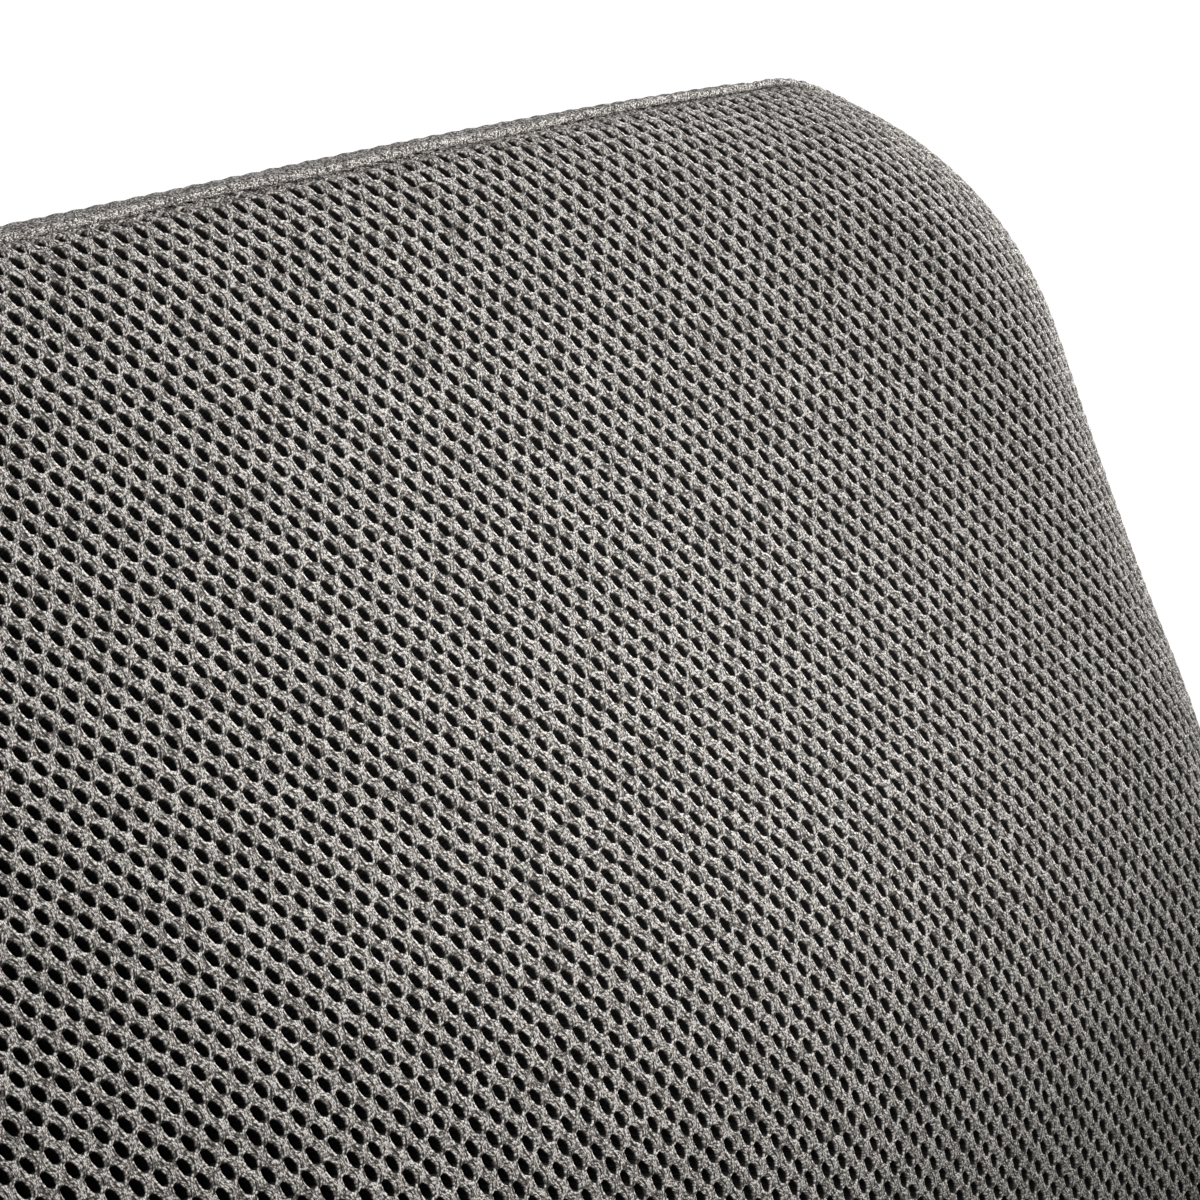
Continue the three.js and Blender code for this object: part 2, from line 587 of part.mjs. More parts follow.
// Side release buckle: the female half holds the webbing, the male half the elastic.
const pocketHalf = POCKET_HEIGHT / 2;
const windowEnd = FEMALE_MOUTH - FEMALE.windowEdge;
addPiece('buckle_female', join([
  strapBlock([FEMALE_START, FEMALE_MOUTH], BUCKLE_THICKNESS / 2, BUCKLE_HALF)
    .subtract(strapBlock([FEMALE_MOUTH - FEMALE.pocket, FEMALE_MOUTH + 1], pocketHalf, POCKET_HALF))
    .subtract(strapBlock([windowEnd - FEMALE.window, windowEnd], pocketHalf, BUCKLE_HALF + 1)),
  ...buckleArms(FEMALE.bar - BUCKLE_ARM[1] / 2, FEMALE_START + 1),
  buckleBar(FEMALE.bar),
]), COLOUR.plastic, 0.45);
addPiece('buckle_male', join([
  strapBlock([MALE_START, MALE_START + MALE.length], MALE.thickness / 2, BUCKLE_HALF - 1),
  strapBlock([MALE_START - TONGUE[0], MALE_START + 1], PRONG.height / 2, TONGUE[1] / 2),
  ...buckleArms(MALE_START + MALE.length - 1, MALE_BAR + BUCKLE_ARM[1] / 2),
  buckleBar(MALE_BAR),
]), COLOUR.plastic, 0.45);

/** A sprung prong seen from behind: x along the strap, height away from its middle line. */
function prongOutline() {
  const root = MALE_START - TOUCH_GAP;
  const back = windowEnd - TOUCH_GAP;
  const tip = root - PRONG.length;
  const shoulder = POCKET_HALF + PRONG.shoulder;
  const wall = POCKET_HALF - TOUCH_GAP;
  const [tipIn, tipWidth] = PRONG.tip;
  return [
    [root, PRONG.root], [root, PRONG.root + PRONG.arm], [back, wall], [back, shoulder],
    [back - PRONG.press, shoulder - TOUCH_GAP], [back - PRONG.taper, wall - 1],
    [tip, wall - tipIn], [tip, wall - tipIn - tipWidth],
    [back - PRONG.press, wall - PRONG.arm - 1], [back, PRONG.root + TOUCH_GAP],
  ];
}
for (const [name, sign] of [['upper', 1], ['lower', -1]]) {
  const outline = prongOutline().map(([x, height]) => new THREE.Vector2(x, sign * height));
  const geometry = new THREE.ExtrudeGeometry(new THREE.Shape(outline), {
    depth: PRONG.height, bevelEnabled: false,
  });
  geometry.rotateX(Math.PI / 2);
  geometry.translate(0, BACK_PLANE_Y - LOOP_Q + PRONG.height / 2, STRAP_HEIGHT);
  addPiece(`buckle_prong_${name}`, geometry, COLOUR.plastic, 0.45);
}

// Adjuster: a slot for each layer of the webbing, one either side of its middle bar.
const layerHalf = STRAP_THICKNESS / 2 + ADJUSTER.layerGap;
const channelHalf = LOOP_RADIUS + layerHalf;
const adjusterX = [ADJUSTER_X - ADJUSTER.length / 2, ADJUSTER_X + ADJUSTER.length / 2];
const channelHeight = STRAP_HALF + STRAP_CLEARANCE;
addPiece('strap_adjuster',
  strapBlock(adjusterX, channelHalf + ADJUSTER.plate, channelHeight + ADJUSTER.wall)
    .subtract(strapBlock([adjusterX[0] - 1, adjusterX[1] + 1], channelHalf, channelHeight))
    .add(strapBlock(adjusterX, LOOP_RADIUS - layerHalf, channelHeight + 1)),
  COLOUR.plastic, 0.45);

// Blank sewn-on care label.
addPiece('care_label', block(
  [LABEL.x - LABEL.width / 2, LABEL.x + LABEL.width / 2],
  [-TOUCH_GAP - LABEL.thickness, -TOUCH_GAP],
  [LABEL.top - LABEL.drop, LABEL.top],
), COLOUR.label, 0.8);

// The group stands on Z = 0 with its origin under the middle of its box.
const extent = new THREE.Box3().setFromObject(cushion);
const middle = extent.getCenter(new THREE.Vector3());
cushion.position.set(-middle.x, -middle.y, -extent.min.z);

export default cushion;
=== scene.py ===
"""Visual model of a lumbar support cushion in a zipped spacer-mesh cover.

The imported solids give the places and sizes. The cover's fabric is knitted here as real holes
over the cushion's form, and the strap, zip and buckle are finished round the same solids.
"""
import json
import logging
import math
from abc import ABC, abstractmethod
from dataclasses import dataclass
from enum import Enum

import bmesh
import bpy
import numpy as np
from mathutils import Matrix, Vector


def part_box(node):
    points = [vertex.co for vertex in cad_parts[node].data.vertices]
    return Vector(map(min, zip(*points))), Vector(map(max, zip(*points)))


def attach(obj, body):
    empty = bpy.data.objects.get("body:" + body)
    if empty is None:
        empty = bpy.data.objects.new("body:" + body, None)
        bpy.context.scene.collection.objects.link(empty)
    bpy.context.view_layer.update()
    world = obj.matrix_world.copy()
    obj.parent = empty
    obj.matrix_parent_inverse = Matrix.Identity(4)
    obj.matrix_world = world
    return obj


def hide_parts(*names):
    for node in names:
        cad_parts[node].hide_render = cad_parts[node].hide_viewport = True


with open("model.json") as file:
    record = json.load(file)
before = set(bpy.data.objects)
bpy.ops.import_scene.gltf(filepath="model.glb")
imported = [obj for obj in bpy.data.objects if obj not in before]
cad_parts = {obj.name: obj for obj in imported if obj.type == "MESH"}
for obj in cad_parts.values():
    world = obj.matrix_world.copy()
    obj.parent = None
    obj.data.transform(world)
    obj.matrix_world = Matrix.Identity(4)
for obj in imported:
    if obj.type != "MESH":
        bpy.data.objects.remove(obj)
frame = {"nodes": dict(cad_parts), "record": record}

LOG = logging.getLogger("lumbar_cushion")
MM = 0.001
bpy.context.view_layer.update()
Array = np.ndarray
Point = tuple[float, float, float]
WELD = 1e-6
BAND_EDGES = 50.0
THREAD_EDGES = 80.0


# ---------------------------------------------------------------- small tools

def smooth(value: Array, low: float, high: float) -> Array:
    """Smooth step from 0 at low to 1 at high."""
    share = np.clip((value - low) / (high - low), 0.0, 1.0)
    return share * share * (3.0 - 2.0 * share)


def mix(low: Array, high: Array, share: Array) -> Array:
    """Blend from low to high."""
    return low + (high - low) * share


def scatter(first: Array, second: Array, seed: float) -> Array:
    """Even pseudo-random numbers from 0 to 1 for pairs of whole numbers."""
    wave = np.sin(first * 12.9898 + second * 78.233 + seed * 37.719) * 43758.5453
    return wave - np.floor(wave)


def mesh_points(mesh: bpy.types.Mesh) -> Array:
    """The mesh's vertices as rows of x, y, z."""
    flat = np.empty(len(mesh.vertices) * 3, np.float64)
    mesh.vertices.foreach_get("co", flat)
    return flat.reshape(-1, 3)


def set_points(mesh: bpy.types.Mesh, points: Array) -> None:
    """Moves the mesh's vertices to these points."""
    mesh.vertices.foreach_set("co", np.ascontiguousarray(points, np.float32).ravel())
    mesh.update()


def set_attribute(mesh: bpy.types.Mesh, name: str, values: Array) -> None:
    """Stores one number for each vertex."""
    layer = mesh.attributes.new(name, "FLOAT", "POINT")
    layer.data.foreach_set("value", np.ascontiguousarray(values, np.float32))


def set_uv(mesh: bpy.types.Mesh, name: str, along: Array, across: Array) -> None:
    """Stores a UV map from two numbers for each vertex."""
    corners = np.empty(len(mesh.loops), np.int32)
    mesh.loops.foreach_get("vertex_index", corners)
    layer = mesh.uv_layers.new(name=name)
    pairs = np.stack([along[corners], across[corners]], 1)
    layer.data.foreach_set("uv", np.ascontiguousarray(pairs, np.float32).ravel())


def as_mesh(shape: bmesh.types.BMesh, name: str) -> bpy.types.Mesh:
    """Turns a shape into a new mesh."""
    mesh = bpy.data.meshes.new(name)
    shape.to_mesh(mesh)
    shape.free()
    return mesh


def grid_mesh(name: str, columns: int, rows: int) -> bpy.types.Mesh:
    """A flat grid that reaches half a unit each way from its middle."""
    shape = bmesh.new()
    bmesh.ops.create_grid(shape, x_segments=columns, y_segments=rows, size=0.5)
    return as_mesh(shape, name)


def welded(mesh: bpy.types.Mesh, reach: float = WELD) -> bmesh.types.BMesh:
    """A shape made of a mesh, with the vertices that lie within reach of each other joined."""
    shape = bmesh.new()
    shape.from_mesh(mesh)
    bmesh.ops.remove_doubles(shape, verts=shape.verts[:], dist=reach)
    return shape


def soften(shape: bmesh.types.BMesh) -> None:
    """Shades every face smooth."""
    for face in shape.faces:
        face.smooth = True


def finish_piece(shape: bmesh.types.BMesh | bpy.types.Mesh, name: str, material: bpy.types.Material,
                 body: str, replaced: tuple[str, ...] = ()) -> bpy.types.Object:
    """Makes an object of a finished shape, hangs it on its body and hides the solids that it stands for.

    Args:
        shape: the piece in place, in metres.
        name: the piece's name.
        material: its finish.
        body: the body that it rides on.
        replaced: the solids that it stands for.
    Returns:
        The new object.
    """
    mesh = as_mesh(shape, name) if isinstance(shape, bmesh.types.BMesh) else shape
    mesh.materials.clear()
    mesh.materials.append(material)
    piece = bpy.data.objects.new(name, mesh)
    bpy.context.scene.collection.objects.link(piece)
    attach(piece, body)
    if replaced:
        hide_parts(*replaced)
    LOG.info("%s: %d faces", name, len(mesh.polygons))
    return piece


def refined(node: str, bevel: float, segments: int = 2, sharp: float = 25.0) -> bmesh.types.BMesh:
    """A merged copy of a solid, with its flats made whole and its sharp edges rounded.

    Args:
        node: the solid's name.
        bevel: width of the rounding.
        segments: steps across it.
        sharp: least angle, in degrees, of an edge that is rounded.
    Returns:
        The rounded shape.
    """
    shape = welded(frame["nodes"][node].data)
    bmesh.ops.dissolve_limit(shape, angle_limit=math.radians(1), verts=shape.verts[:], edges=shape.edges[:])
    edges = [edge for edge in shape.edges if edge.calc_face_angle(0) > math.radians(sharp)]
    bmesh.ops.bevel(shape, geom=edges, offset=bevel, offset_type="OFFSET", segments=segments, profile=0.5,
                    affect="EDGES", clamp_overlap=True, material=-1)
    return shape


def rounded_block(shape: bmesh.types.BMesh, centre: Vector, size: Vector, bevel: float) -> None:
    """Adds a block with rounded edges to a shape."""
    place = Matrix.Translation(centre) @ Matrix.Diagonal((*size, 1))
    verts = bmesh.ops.create_cube(shape, size=1.0, matrix=place)["verts"]
    edges = list({edge for vert in verts for edge in vert.link_edges})
    bmesh.ops.bevel(shape, geom=edges, offset=bevel, offset_type="OFFSET", segments=1, profile=0.5,
                    affect="EDGES", clamp_overlap=True, material=-1)


@dataclass(frozen=True)
class GripRibs:
    """Raised ribs across the outer face of a piece.

    The first is the distance of the first rib from the piece's left end or, below 0, from its right end.
    """

    first: float
    reach: float
    count: int = 3
    pitch: float = 2.2 * MM
    wide: float = 1.1 * MM
    proud: float = 0.5 * MM
    bevel: float = 0.2 * MM

    def add(self, shape: bmesh.types.BMesh, node: str) -> None:
        """Adds the ribs to the shape made from a solid."""
        low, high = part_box(node)
        start = (low.x if self.first > 0 else high.x) + self.first
        size = Vector((self.wide, self.proud, self.reach * (high.z - low.z)))
        for index in range(self.count):
            centre = Vector((start + index * self.pitch, high.y, (low.z + high.z) / 2))
            rounded_block(shape, centre, size, self.bevel)


def crisp(piece: bpy.types.Object, angle: float = 38.0) -> bpy.types.Object:
    """Shades a piece smooth, but for edges sharper than the angle in degrees."""
    piece.data.shade_smooth()
    piece.data.set_sharp_from_angle(angle=math.radians(angle))
    return piece


# ---------------------------------------------------------------- the cushion's form

@dataclass(frozen=True)
class CushionForm:
    """The outside of the cover, as a mapping from flat cloth to the row frame."""

    back_plane: float
    width: float = 345 * MM
    height: float = 280 * MM
    depth: float = 108 * MM
    crest_height: float = 156 * MM
    crest_radius: float = 92 * MM
    upper_lean: float = math.radians(16.2)
    lower_lean: float = math.radians(18)
    side_crown: float = 23 * MM
    crown_fade: float = 142 * MM
    top_corner: float = 47.5 * MM
    bottom_corner: float = 48 * MM
    side_roll: float = 37 * MM
    side_roll_angle: float = math.radians(78)
    end_roll: float = 30 * MM
    end_roll_angle: float = math.radians(25)
    roll_blend: tuple[float, float] = (127 * MM, -22 * MM)
    back_roll: float = 7 * MM
    top_bulge: float = 3.6 * MM
    side_bulge: float = 2 * MM

    def lean(self, above: Array) -> Array:
        """Lean of the straight run above or below the crest."""
        return np.where(above > 0, self.upper_lean, self.lower_lean)

    def height_at_run(self, run: Array) -> Array:
        """Height above the underside, from the length of cloth above the crest."""
        lean = self.lean(run)
        away = np.abs(run)
        arc = self.crest_radius * lean
        curved = self.crest_radius * np.sin(np.minimum(away, arc) / self.crest_radius)
        straight = np.maximum(away - arc, 0) * np.cos(lean)
        return self.crest_height + np.sign(run) * (curved + straight)

    def face_depth(self, x: Array, z: Array) -> Array:
        """Distance of the face in front of the back panel, before its edges roll."""
        above = z - self.crest_height
        lean = self.lean(above)
        away = np.abs(above)
        arc = self.crest_radius * np.sin(lean)
        inner = np.minimum(away, arc)
        drop = self.crest_radius - np.sqrt(self.crest_radius ** 2 - inner ** 2)
        drop = drop + np.maximum(away - arc, 0) * np.tan(lean)
        crown = self.side_crown * (1 - smooth(away, 0, self.crown_fade))
        return self.depth - drop - crown * (x / (self.width / 2)) ** 2

    def outline(self, x: Array, z: Array) -> tuple[Array, Array, Array]:
        """Signed distance outside the outline seen from the front, and its outward direction."""
        upper = z > self.height / 2
        radius = np.where(upper, self.top_corner, self.bottom_corner)
        side = np.abs(x) - self.width / 2
        end = np.where(upper, z - self.height, -z)
        in_corner = (side + radius > 0) & (end + radius > 0)
        reach = np.hypot(side + radius, end + radius)
        reach = np.where(in_corner, np.maximum(reach, 1e-9), 1.0)
        by_side = side > end
        out_x = np.where(in_corner, (side + radius) / reach, by_side) * np.sign(x)
        out_z = np.where(in_corner, (end + radius) / reach, ~by_side) * np.where(upper, 1, -1)
        return np.where(in_corner, reach - radius, np.maximum(side, end)), out_x, out_z

    def sideways(self, outline_x: Array) -> Array:
        """1 at the sides of the outline and 0 along its top and bottom."""
        return 1 - smooth(self.width / 2 - np.abs(outline_x), self.roll_blend[1], self.roll_blend[0])

    def roll(self, outline_x: Array) -> tuple[Array, Array]:
        """Radius and angle of the front panel's roll at a place on the outline."""
        share = self.sideways(outline_x)
        radius = mix(self.end_roll, self.side_roll, share)
        return radius, mix(self.end_roll_angle, self.side_roll_angle, share)

    def place(self, x: Array, inward: Array, z: Array) -> Array:
        """Row coordinates from x, distance in front of the back panel, and height."""
        return np.stack([x, self.back_plane - inward, z], -1)

    @property
    def outline_length(self) -> float:
        """Length once round the outline."""
        straight = 2 * (self.width + self.height) - 4 * (self.top_corner + self.bottom_corner)
        return straight + math.pi * (self.top_corner + self.bottom_corner)

    def outline_point(self, along: Array) -> tuple[Array, Array, Array, Array]:
        """Point and outward direction at a length round the outline from the underside's middle."""
        total = self.outline_length
        wrapped = np.mod(along, total)
        left = wrapped > total / 2
        run = np.where(left, total - wrapped, wrapped)
        half, top, bottom = self.width / 2, self.top_corner, self.bottom_corner
        lengths = np.array([half - bottom, bottom * math.pi / 2, self.height - top - bottom,
                            top * math.pi / 2, half - top])
        ends = np.cumsum(lengths)
        legs = [run < ends[0], run < ends[1], run < ends[2], run < ends[3]]
        low_turn = (run - ends[0]) / bottom - math.pi / 2
        high_turn = (run - ends[2]) / top
        x = np.select(legs, [run, half - bottom + bottom * np.cos(low_turn), np.full_like(run, half),
                             half - top + top * np.cos(high_turn)], half - top - (run - ends[3]))
        z = np.select(legs, [np.zeros_like(run), bottom + bottom * np.sin(low_turn), bottom + run - ends[1],
                             self.height - top + top * np.sin(high_turn)], self.height)
        out_x = np.select(legs, [0 * run, np.cos(low_turn), 0 * run + 1, np.cos(high_turn)], 0.0)
        out_z = np.select(legs, [0 * run - 1, np.sin(low_turn), 0 * run, np.sin(high_turn)], 1.0)
        flip = np.where(left, -1.0, 1.0)
        return x * flip, z, out_x * flip, out_z

    def front_seam_depth(self, x: Array, z: Array) -> Array:
        """Distance of the front seam in front of the back panel, at a point of the outline."""
        radius, angle = self.roll(x)
        return self.face_depth(x, z) - radius * (1 - np.cos(angle))


# ---------------------------------------------------------------- the cover's panels

class Sheet(ABC):
    """One panel of the cover: flat cloth with a border, laid on the cushion's form."""

    @abstractmethod
    def keeps(self, u: Array, v: Array, margin: float) -> Array:
        """Whether flat points lie on the panel or within the margin of its border."""

    @abstractmethod
    def trimmed(self, u: Array, v: Array) -> tuple[Array, Array, Array]:
        """Flat points brought back to the border, and their distance inside it."""

    @abstractmethod
    def surface(self, u: Array, v: Array) -> Array:
        """Row coordinates of flat points."""

    def raised(self, u: Array, v: Array, rise: Array) -> Array:
        """Row coordinates of flat points at a height over the cloth's face."""
        step = 0.2 * MM
        at = self.surface(u, v)
        normal = np.cross(self.surface(u + step, v) - at, self.surface(u, v + step) - at)
        normal /= np.maximum(np.linalg.norm(normal, axis=1, keepdims=True), 1e-15)
        return at + normal * rise[:, None]


@dataclass(frozen=True)
class FrontSheet(Sheet):
    """The front panel: u runs across, v is the length of cloth above the crest."""

    form: CushionForm
    tuck: float = 0.2 * MM

    def _polar(self, u: Array, v: Array) -> tuple[Array, ...]:
        """Flat place, signed distance, outward direction, and the roll's radius and angle there."""
        z = self.form.height_at_run(v)
        out, out_x, out_z = self.form.outline(u, z)
        radius, angle = self.form.roll(u - out_x * out)
        return z, out, out_x, out_z, radius, angle

    def _slack(self, u: Array, v: Array) -> Array:
        """Distance of flat points inside the panel's border."""
        _, out, _, _, radius, angle = self._polar(u, v)
        return radius * (angle - np.sin(angle)) - self.tuck - out

    def keeps(self, u: Array, v: Array, margin: float) -> Array:
        """Whether flat points lie inside the front seam, give or take the margin."""
        return self._slack(u, v) > -margin

    def trimmed(self, u: Array, v: Array) -> tuple[Array, Array, Array]:
        """Flat points brought back to the front seam, and their distance inside it."""
        for _ in range(2):
            _, _, out_x, out_z, _, _ = self._polar(u, v)
            over = np.minimum(self._slack(u, v), 0)
            slope = np.cos(self.form.lean(v))
            u = u + out_x * over
            v = v + out_z * over / slope
        return u, v, self._slack(u, v)

    def surface(self, u: Array, v: Array) -> Array:
        """Row coordinates: straight on to the face, and round its edge in the roll."""
        z, out, out_x, out_z, radius, angle = self._polar(u, v)
        reach = radius * np.sin(angle)
        turned = np.maximum(out + reach, 0) / radius
        shift = np.where(turned > 0, -reach + radius * np.sin(turned) - out, 0)
        x_at, z_at = u + out_x * shift, z + out_z * shift
        return self.form.place(x_at, self.form.face_depth(x_at, z_at) - radius * (1 - np.cos(turned)), z_at)


@dataclass(frozen=True)
class GussetSheet(Sheet):
    """The band round the cushion: u runs round it, v forward from the back seam."""

    form: CushionForm
    tuck: float = 0.2 * MM

    @property
    def back_arc(self) -> float:
        """Length of cloth from the back seam to the flat of the gusset."""
        return self.form.back_roll * math.pi / 4

    def _width(self, u: Array) -> Array:
        """Width of the band at a place round the cushion."""
        x, z, _, _ = self.form.outline_point(u)
        return self.form.front_seam_depth(x, z) - self.form.back_roll + self.back_arc

    def keeps(self, u: Array, v: Array, margin: float) -> Array:
        """Whether flat points lie between the seams, once round."""
        once = (u >= 0) & (u < self.form.outline_length)
        return once & (v > self.tuck - margin) & (v < self._width(u) - self.tuck + margin)

    def trimmed(self, u: Array, v: Array) -> tuple[Array, Array, Array]:
        """Flat points brought between the seams, and their distance from the nearer one."""
        far = self._width(u) - self.tuck
        kept = np.clip(v, self.tuck, far)
        return u, kept, np.minimum(kept - self.tuck, far - kept)

    def surface(self, u: Array, v: Array) -> Array:
        """Row coordinates, with the band crowned across its width."""
        form = self.form
        x, z, out_x, out_z = form.outline_point(u)
        turned = math.pi / 4 - np.minimum(v, self.back_arc) / form.back_roll
        inward = np.where(v > self.back_arc, form.back_roll + v - self.back_arc,
                          form.back_roll * (1 - np.sin(turned)))
        out = form.back_roll * (np.cos(turned) - 1)
        share = np.clip((v - self.back_arc) / (self._width(u) - self.back_arc), 0, 1)
        bulge = mix(form.top_bulge, form.side_bulge, form.sideways(x)) * (1 - smooth(-out_z, 0.0, 0.25))
        out = out + bulge * (1 - np.abs(2 * share - 1) ** 3)
        return form.place(x + out_x * out, inward, z + out_z * out)


@dataclass(frozen=True)
class BackSheet(Sheet):
    """Part of the back panel above or below the zip: u runs towards -X, v upwards."""

    form: CushionForm
    zip_line: float
    above: bool
    opening_half: float
    opening_edge: float
    tuck: float = 0.2 * MM

    def _slack(self, u: Array, v: Array) -> Array:
        """Distance inside the back seam."""
        seam = self.form.back_roll * (math.pi / 4 - 1)
        return seam - self.tuck - self.form.outline(-u, v)[0]

    def _zip_edge(self, u: Array) -> Array:
        """Height of the panel's edge at the zip: the opening, or where the halves meet."""
        step = smooth(np.abs(u), self.opening_half, self.opening_half + 1.5 * MM)
        sign = 1 if self.above else -1
        return self.zip_line + sign * mix(self.opening_edge, 0.2 * MM, step)

    def keeps(self, u: Array, v: Array, margin: float) -> Array:
        """Whether flat points lie inside the back seam and on this side of the zip."""
        edge = self._zip_edge(u)
        beyond = v > edge - margin if self.above else v < edge + margin
        return (self._slack(u, v) > -margin) & beyond

    def trimmed(self, u: Array, v: Array) -> tuple[Array, Array, Array]:
        """Flat points brought inside the border, and their distance from it."""
        edge = self._zip_edge(u)
        v = np.maximum(v, edge) if self.above else np.minimum(v, edge)
        _, out_x, out_z = self.form.outline(-u, v)
        over = np.minimum(self._slack(u, v), 0)
        u, v = u - out_x * over, v + out_z * over
        return u, v, np.minimum(self._slack(u, v), np.abs(v - edge))

    def surface(self, u: Array, v: Array) -> Array:
        """Row coordinates: flat, and round the edge towards the gusset."""
        form = self.form
        out, out_x, out_z = form.outline(-u, v)
        turned = np.maximum(out + form.back_roll, 0) / form.back_roll
        shift = np.where(turned > 0, -form.back_roll + form.back_roll * np.sin(turned) - out, 0)
        return form.place(-u + out_x * shift, form.back_roll * (1 - np.cos(turned)), v + out_z * shift)


class HoleDetail(Enum):
    """How finely each hole is made: (width, height) as shares of its rim, and height in mm, of each ring."""

    FULL = (((1.0, 1.0), 0.06), ((0.66, 0.88), -0.55), ((0.56, 0.76), -2.0))
    PLAIN = (((1.0, 1.0), 0.06), ((0.60, 0.82), -1.3))


@dataclass(frozen=True)
class Knit:
    """Spacer mesh: rows of oval holes, each row half a pitch along from the last."""

    pitch: float = 3.2 * MM
    row: float = 2.34 * MM
    hole_half: tuple[float, float] = (0.86 * MM, 1.32 * MM)
    slant: float = 0.26
    wander: float = 0.05 * MM
    size_spread: float = 0.04
    puff: float = 0.20 * MM
    bridge_dip: float = 0.12 * MM
    rim_swing: float = 0.12 * MM
    crimp: float = 0.03 * MM
    edge_flat: float = 2.2 * MM
    edge_dip: float = 0.7 * MM
    edge_roll: float = 1.8 * MM
    edge_rise: float = 0.25
    ring_inset: float = 0.08
    crimp_waves: Point = (911.0, 523.0, 787.0)
    crimp_shift: float = 1.3
    weld: float = 4e-6
    sliver: float = 2e-6

    def flat_place(self, grid: Array, pitch: float, bias: float, middle: list[float]) -> tuple[Array, Array]:
        """Flat u and v of places counted in cells, on cloth whose grain is turned by the bias."""
        across = (grid[:, 0] - grid[:, 1]) * pitch / 2
        along = (grid[:, 0] + grid[:, 1]) * self.row
        return (across * math.cos(bias) - along * math.sin(bias) + middle[0],
                across * math.sin(bias) + along * math.cos(bias) + middle[1])

    def weave(self, sheet: Sheet, low: tuple[float, float], high: tuple[float, float], name: str,
              detail: HoleDetail, pitch: float, bias: float = 0.0) -> bpy.types.Mesh:
        """Knits one panel of the cover.

        Args:
            sheet: the panel.
            low: lowest flat u and v that it may reach.
            high: highest flat u and v that it may reach.
            name: the mesh's name.
            detail: how finely the holes are made.
            pitch: distance from hole to hole along a row.
            bias: how far the cloth's grain is turned from upright.
        Returns:
            The panel's mesh in place, with its weave map, an attribute for the painted shade down each hole,
            and one for the painted highlight on the yarn beside the holes and on the knots.
        """
        middle = [(a + b) / 2 for a, b in zip(low, high)]
        cells = 2 * int(((high[0] - low[0]) / pitch + (high[1] - low[1]) / (2 * self.row)) / 2 + 2)
        shape = bmesh.new()
        bmesh.ops.create_grid(shape, x_segments=cells, y_segments=cells, size=cells / 2)
        centres = np.array([tuple(face.calc_center_median())[:2] for face in shape.faces])
        kept = sheet.keeps(*self.flat_place(centres, pitch, bias, middle), self.row)
        outside = [face for face, keep in zip(shape.faces, kept) if not keep]
        bmesh.ops.delete(shape, geom=outside, context="FACES")
        bmesh.ops.subdivide_edges(shape, edges=shape.edges[:], cuts=1, use_grid_fill=False)
        faces = shape.faces[:]
        rings = detail.value
        before = 0.0
        for _, height in rings:
            bmesh.ops.inset_individual(shape, faces=faces, thickness=self.ring_inset, depth=height - before,
                                       use_even_offset=False)
            before = height
        mesh = as_mesh(shape, name)
        self._lay(mesh, sheet, pitch, bias, middle, rings)
        return mesh

    def _lay(self, mesh: bpy.types.Mesh, sheet: Sheet, pitch: float, bias: float, middle: list[float],
             rings: tuple[tuple[tuple[float, float], float], ...]) -> None:
        """Shapes the holes of a flat lattice and lays it on the cushion.

        Args:
            mesh: the lattice, in cells, with each ring of a hole at its own height.
            sheet: the panel.
            pitch: distance from hole to hole along a row.
            bias: how far the cloth's grain is turned from upright.
            middle: flat place of the lattice's middle.
            rings: shares of the rim's size, and height, of each ring of a hole.
        """
        grid = mesh_points(mesh)
        rise = grid[:, 2].copy()
        cell = np.floor(grid[:, :2]) + 0.5
        centre_u, centre_v = self.flat_place(cell, pitch, bias, middle)
        u, v = self.flat_place(grid, pitch, bias, middle)
        size = 1 + self.size_spread * (2 * scatter(cell[:, 0], cell[:, 1], 1.0) - 1)
        drift = [self.wander * (2 * scatter(cell[:, 0], cell[:, 1], seed) - 1) for seed in (2.0, 3.0)]
        hole_shade = np.zeros(len(grid))
        thread = np.zeros(len(grid))
        in_ring = np.zeros(len(grid), bool)
        for index, ((wide, high), height) in enumerate(rings):
            ring = np.abs(grid[:, 2] - height) < 1e-4
            turn = np.arctan2((v - centre_v) / self.hole_half[1], (u - centre_u) / self.hole_half[0])
            ring_v = centre_v + drift[1] + self.hole_half[1] * size * high * np.sin(turn)
            ring_u = centre_u + drift[0] + self.hole_half[0] * size * wide * np.cos(turn)
            ring_u -= self.slant * (ring_v - centre_v)
            u, v = np.where(ring, ring_u, u), np.where(ring, ring_v, v)
            in_ring |= ring
            # Share of the way down the hole, for the painted shade that darkens each hole with depth.
            hole_shade[ring] = index / (len(rings) - 1)
            if index == 0:
                # Painted highlight on the yarn of the rim, strongest at the hole's left and right sides.
                thread[ring] = np.abs(np.cos(turn[ring]))
                rise[ring] += (self.rim_swing * (np.cos(2 * turn[ring]) ** 2 - 0.5)) / MM
        on_node = np.abs(grid[:, :2] - np.round(grid[:, :2])).max(1) < 0.25
        rise = np.where(in_ring, rise * MM, np.where(on_node, self.puff, -self.bridge_dip))
        # Painted highlight on the raised knots between the holes.
        thread[on_node & ~in_ring] = 1.0
        u, v, inside = sheet.trimmed(u, v)
        flat = smooth(inside, 0.0, self.edge_flat)
        rise = rise * mix(self.edge_rise, 1.0, flat)
        rise -= self.edge_dip * (1 - smooth(inside, 0.0, self.edge_roll))
        first, second, third = self.crimp_waves
        wave = np.sin(u * first + 2.0 * np.sin(v * second)) * np.sin(v * third + self.crimp_shift)
        rise += self.crimp * wave
        set_points(mesh, sheet.raised(u, v, rise))
        across = (u - middle[0]) * math.cos(bias) + (v - middle[1]) * math.sin(bias)
        along = (v - middle[1]) * math.cos(bias) - (u - middle[0]) * math.sin(bias)
        set_uv(mesh, "weave", across / pitch, along / (2 * self.row) - 0.5)
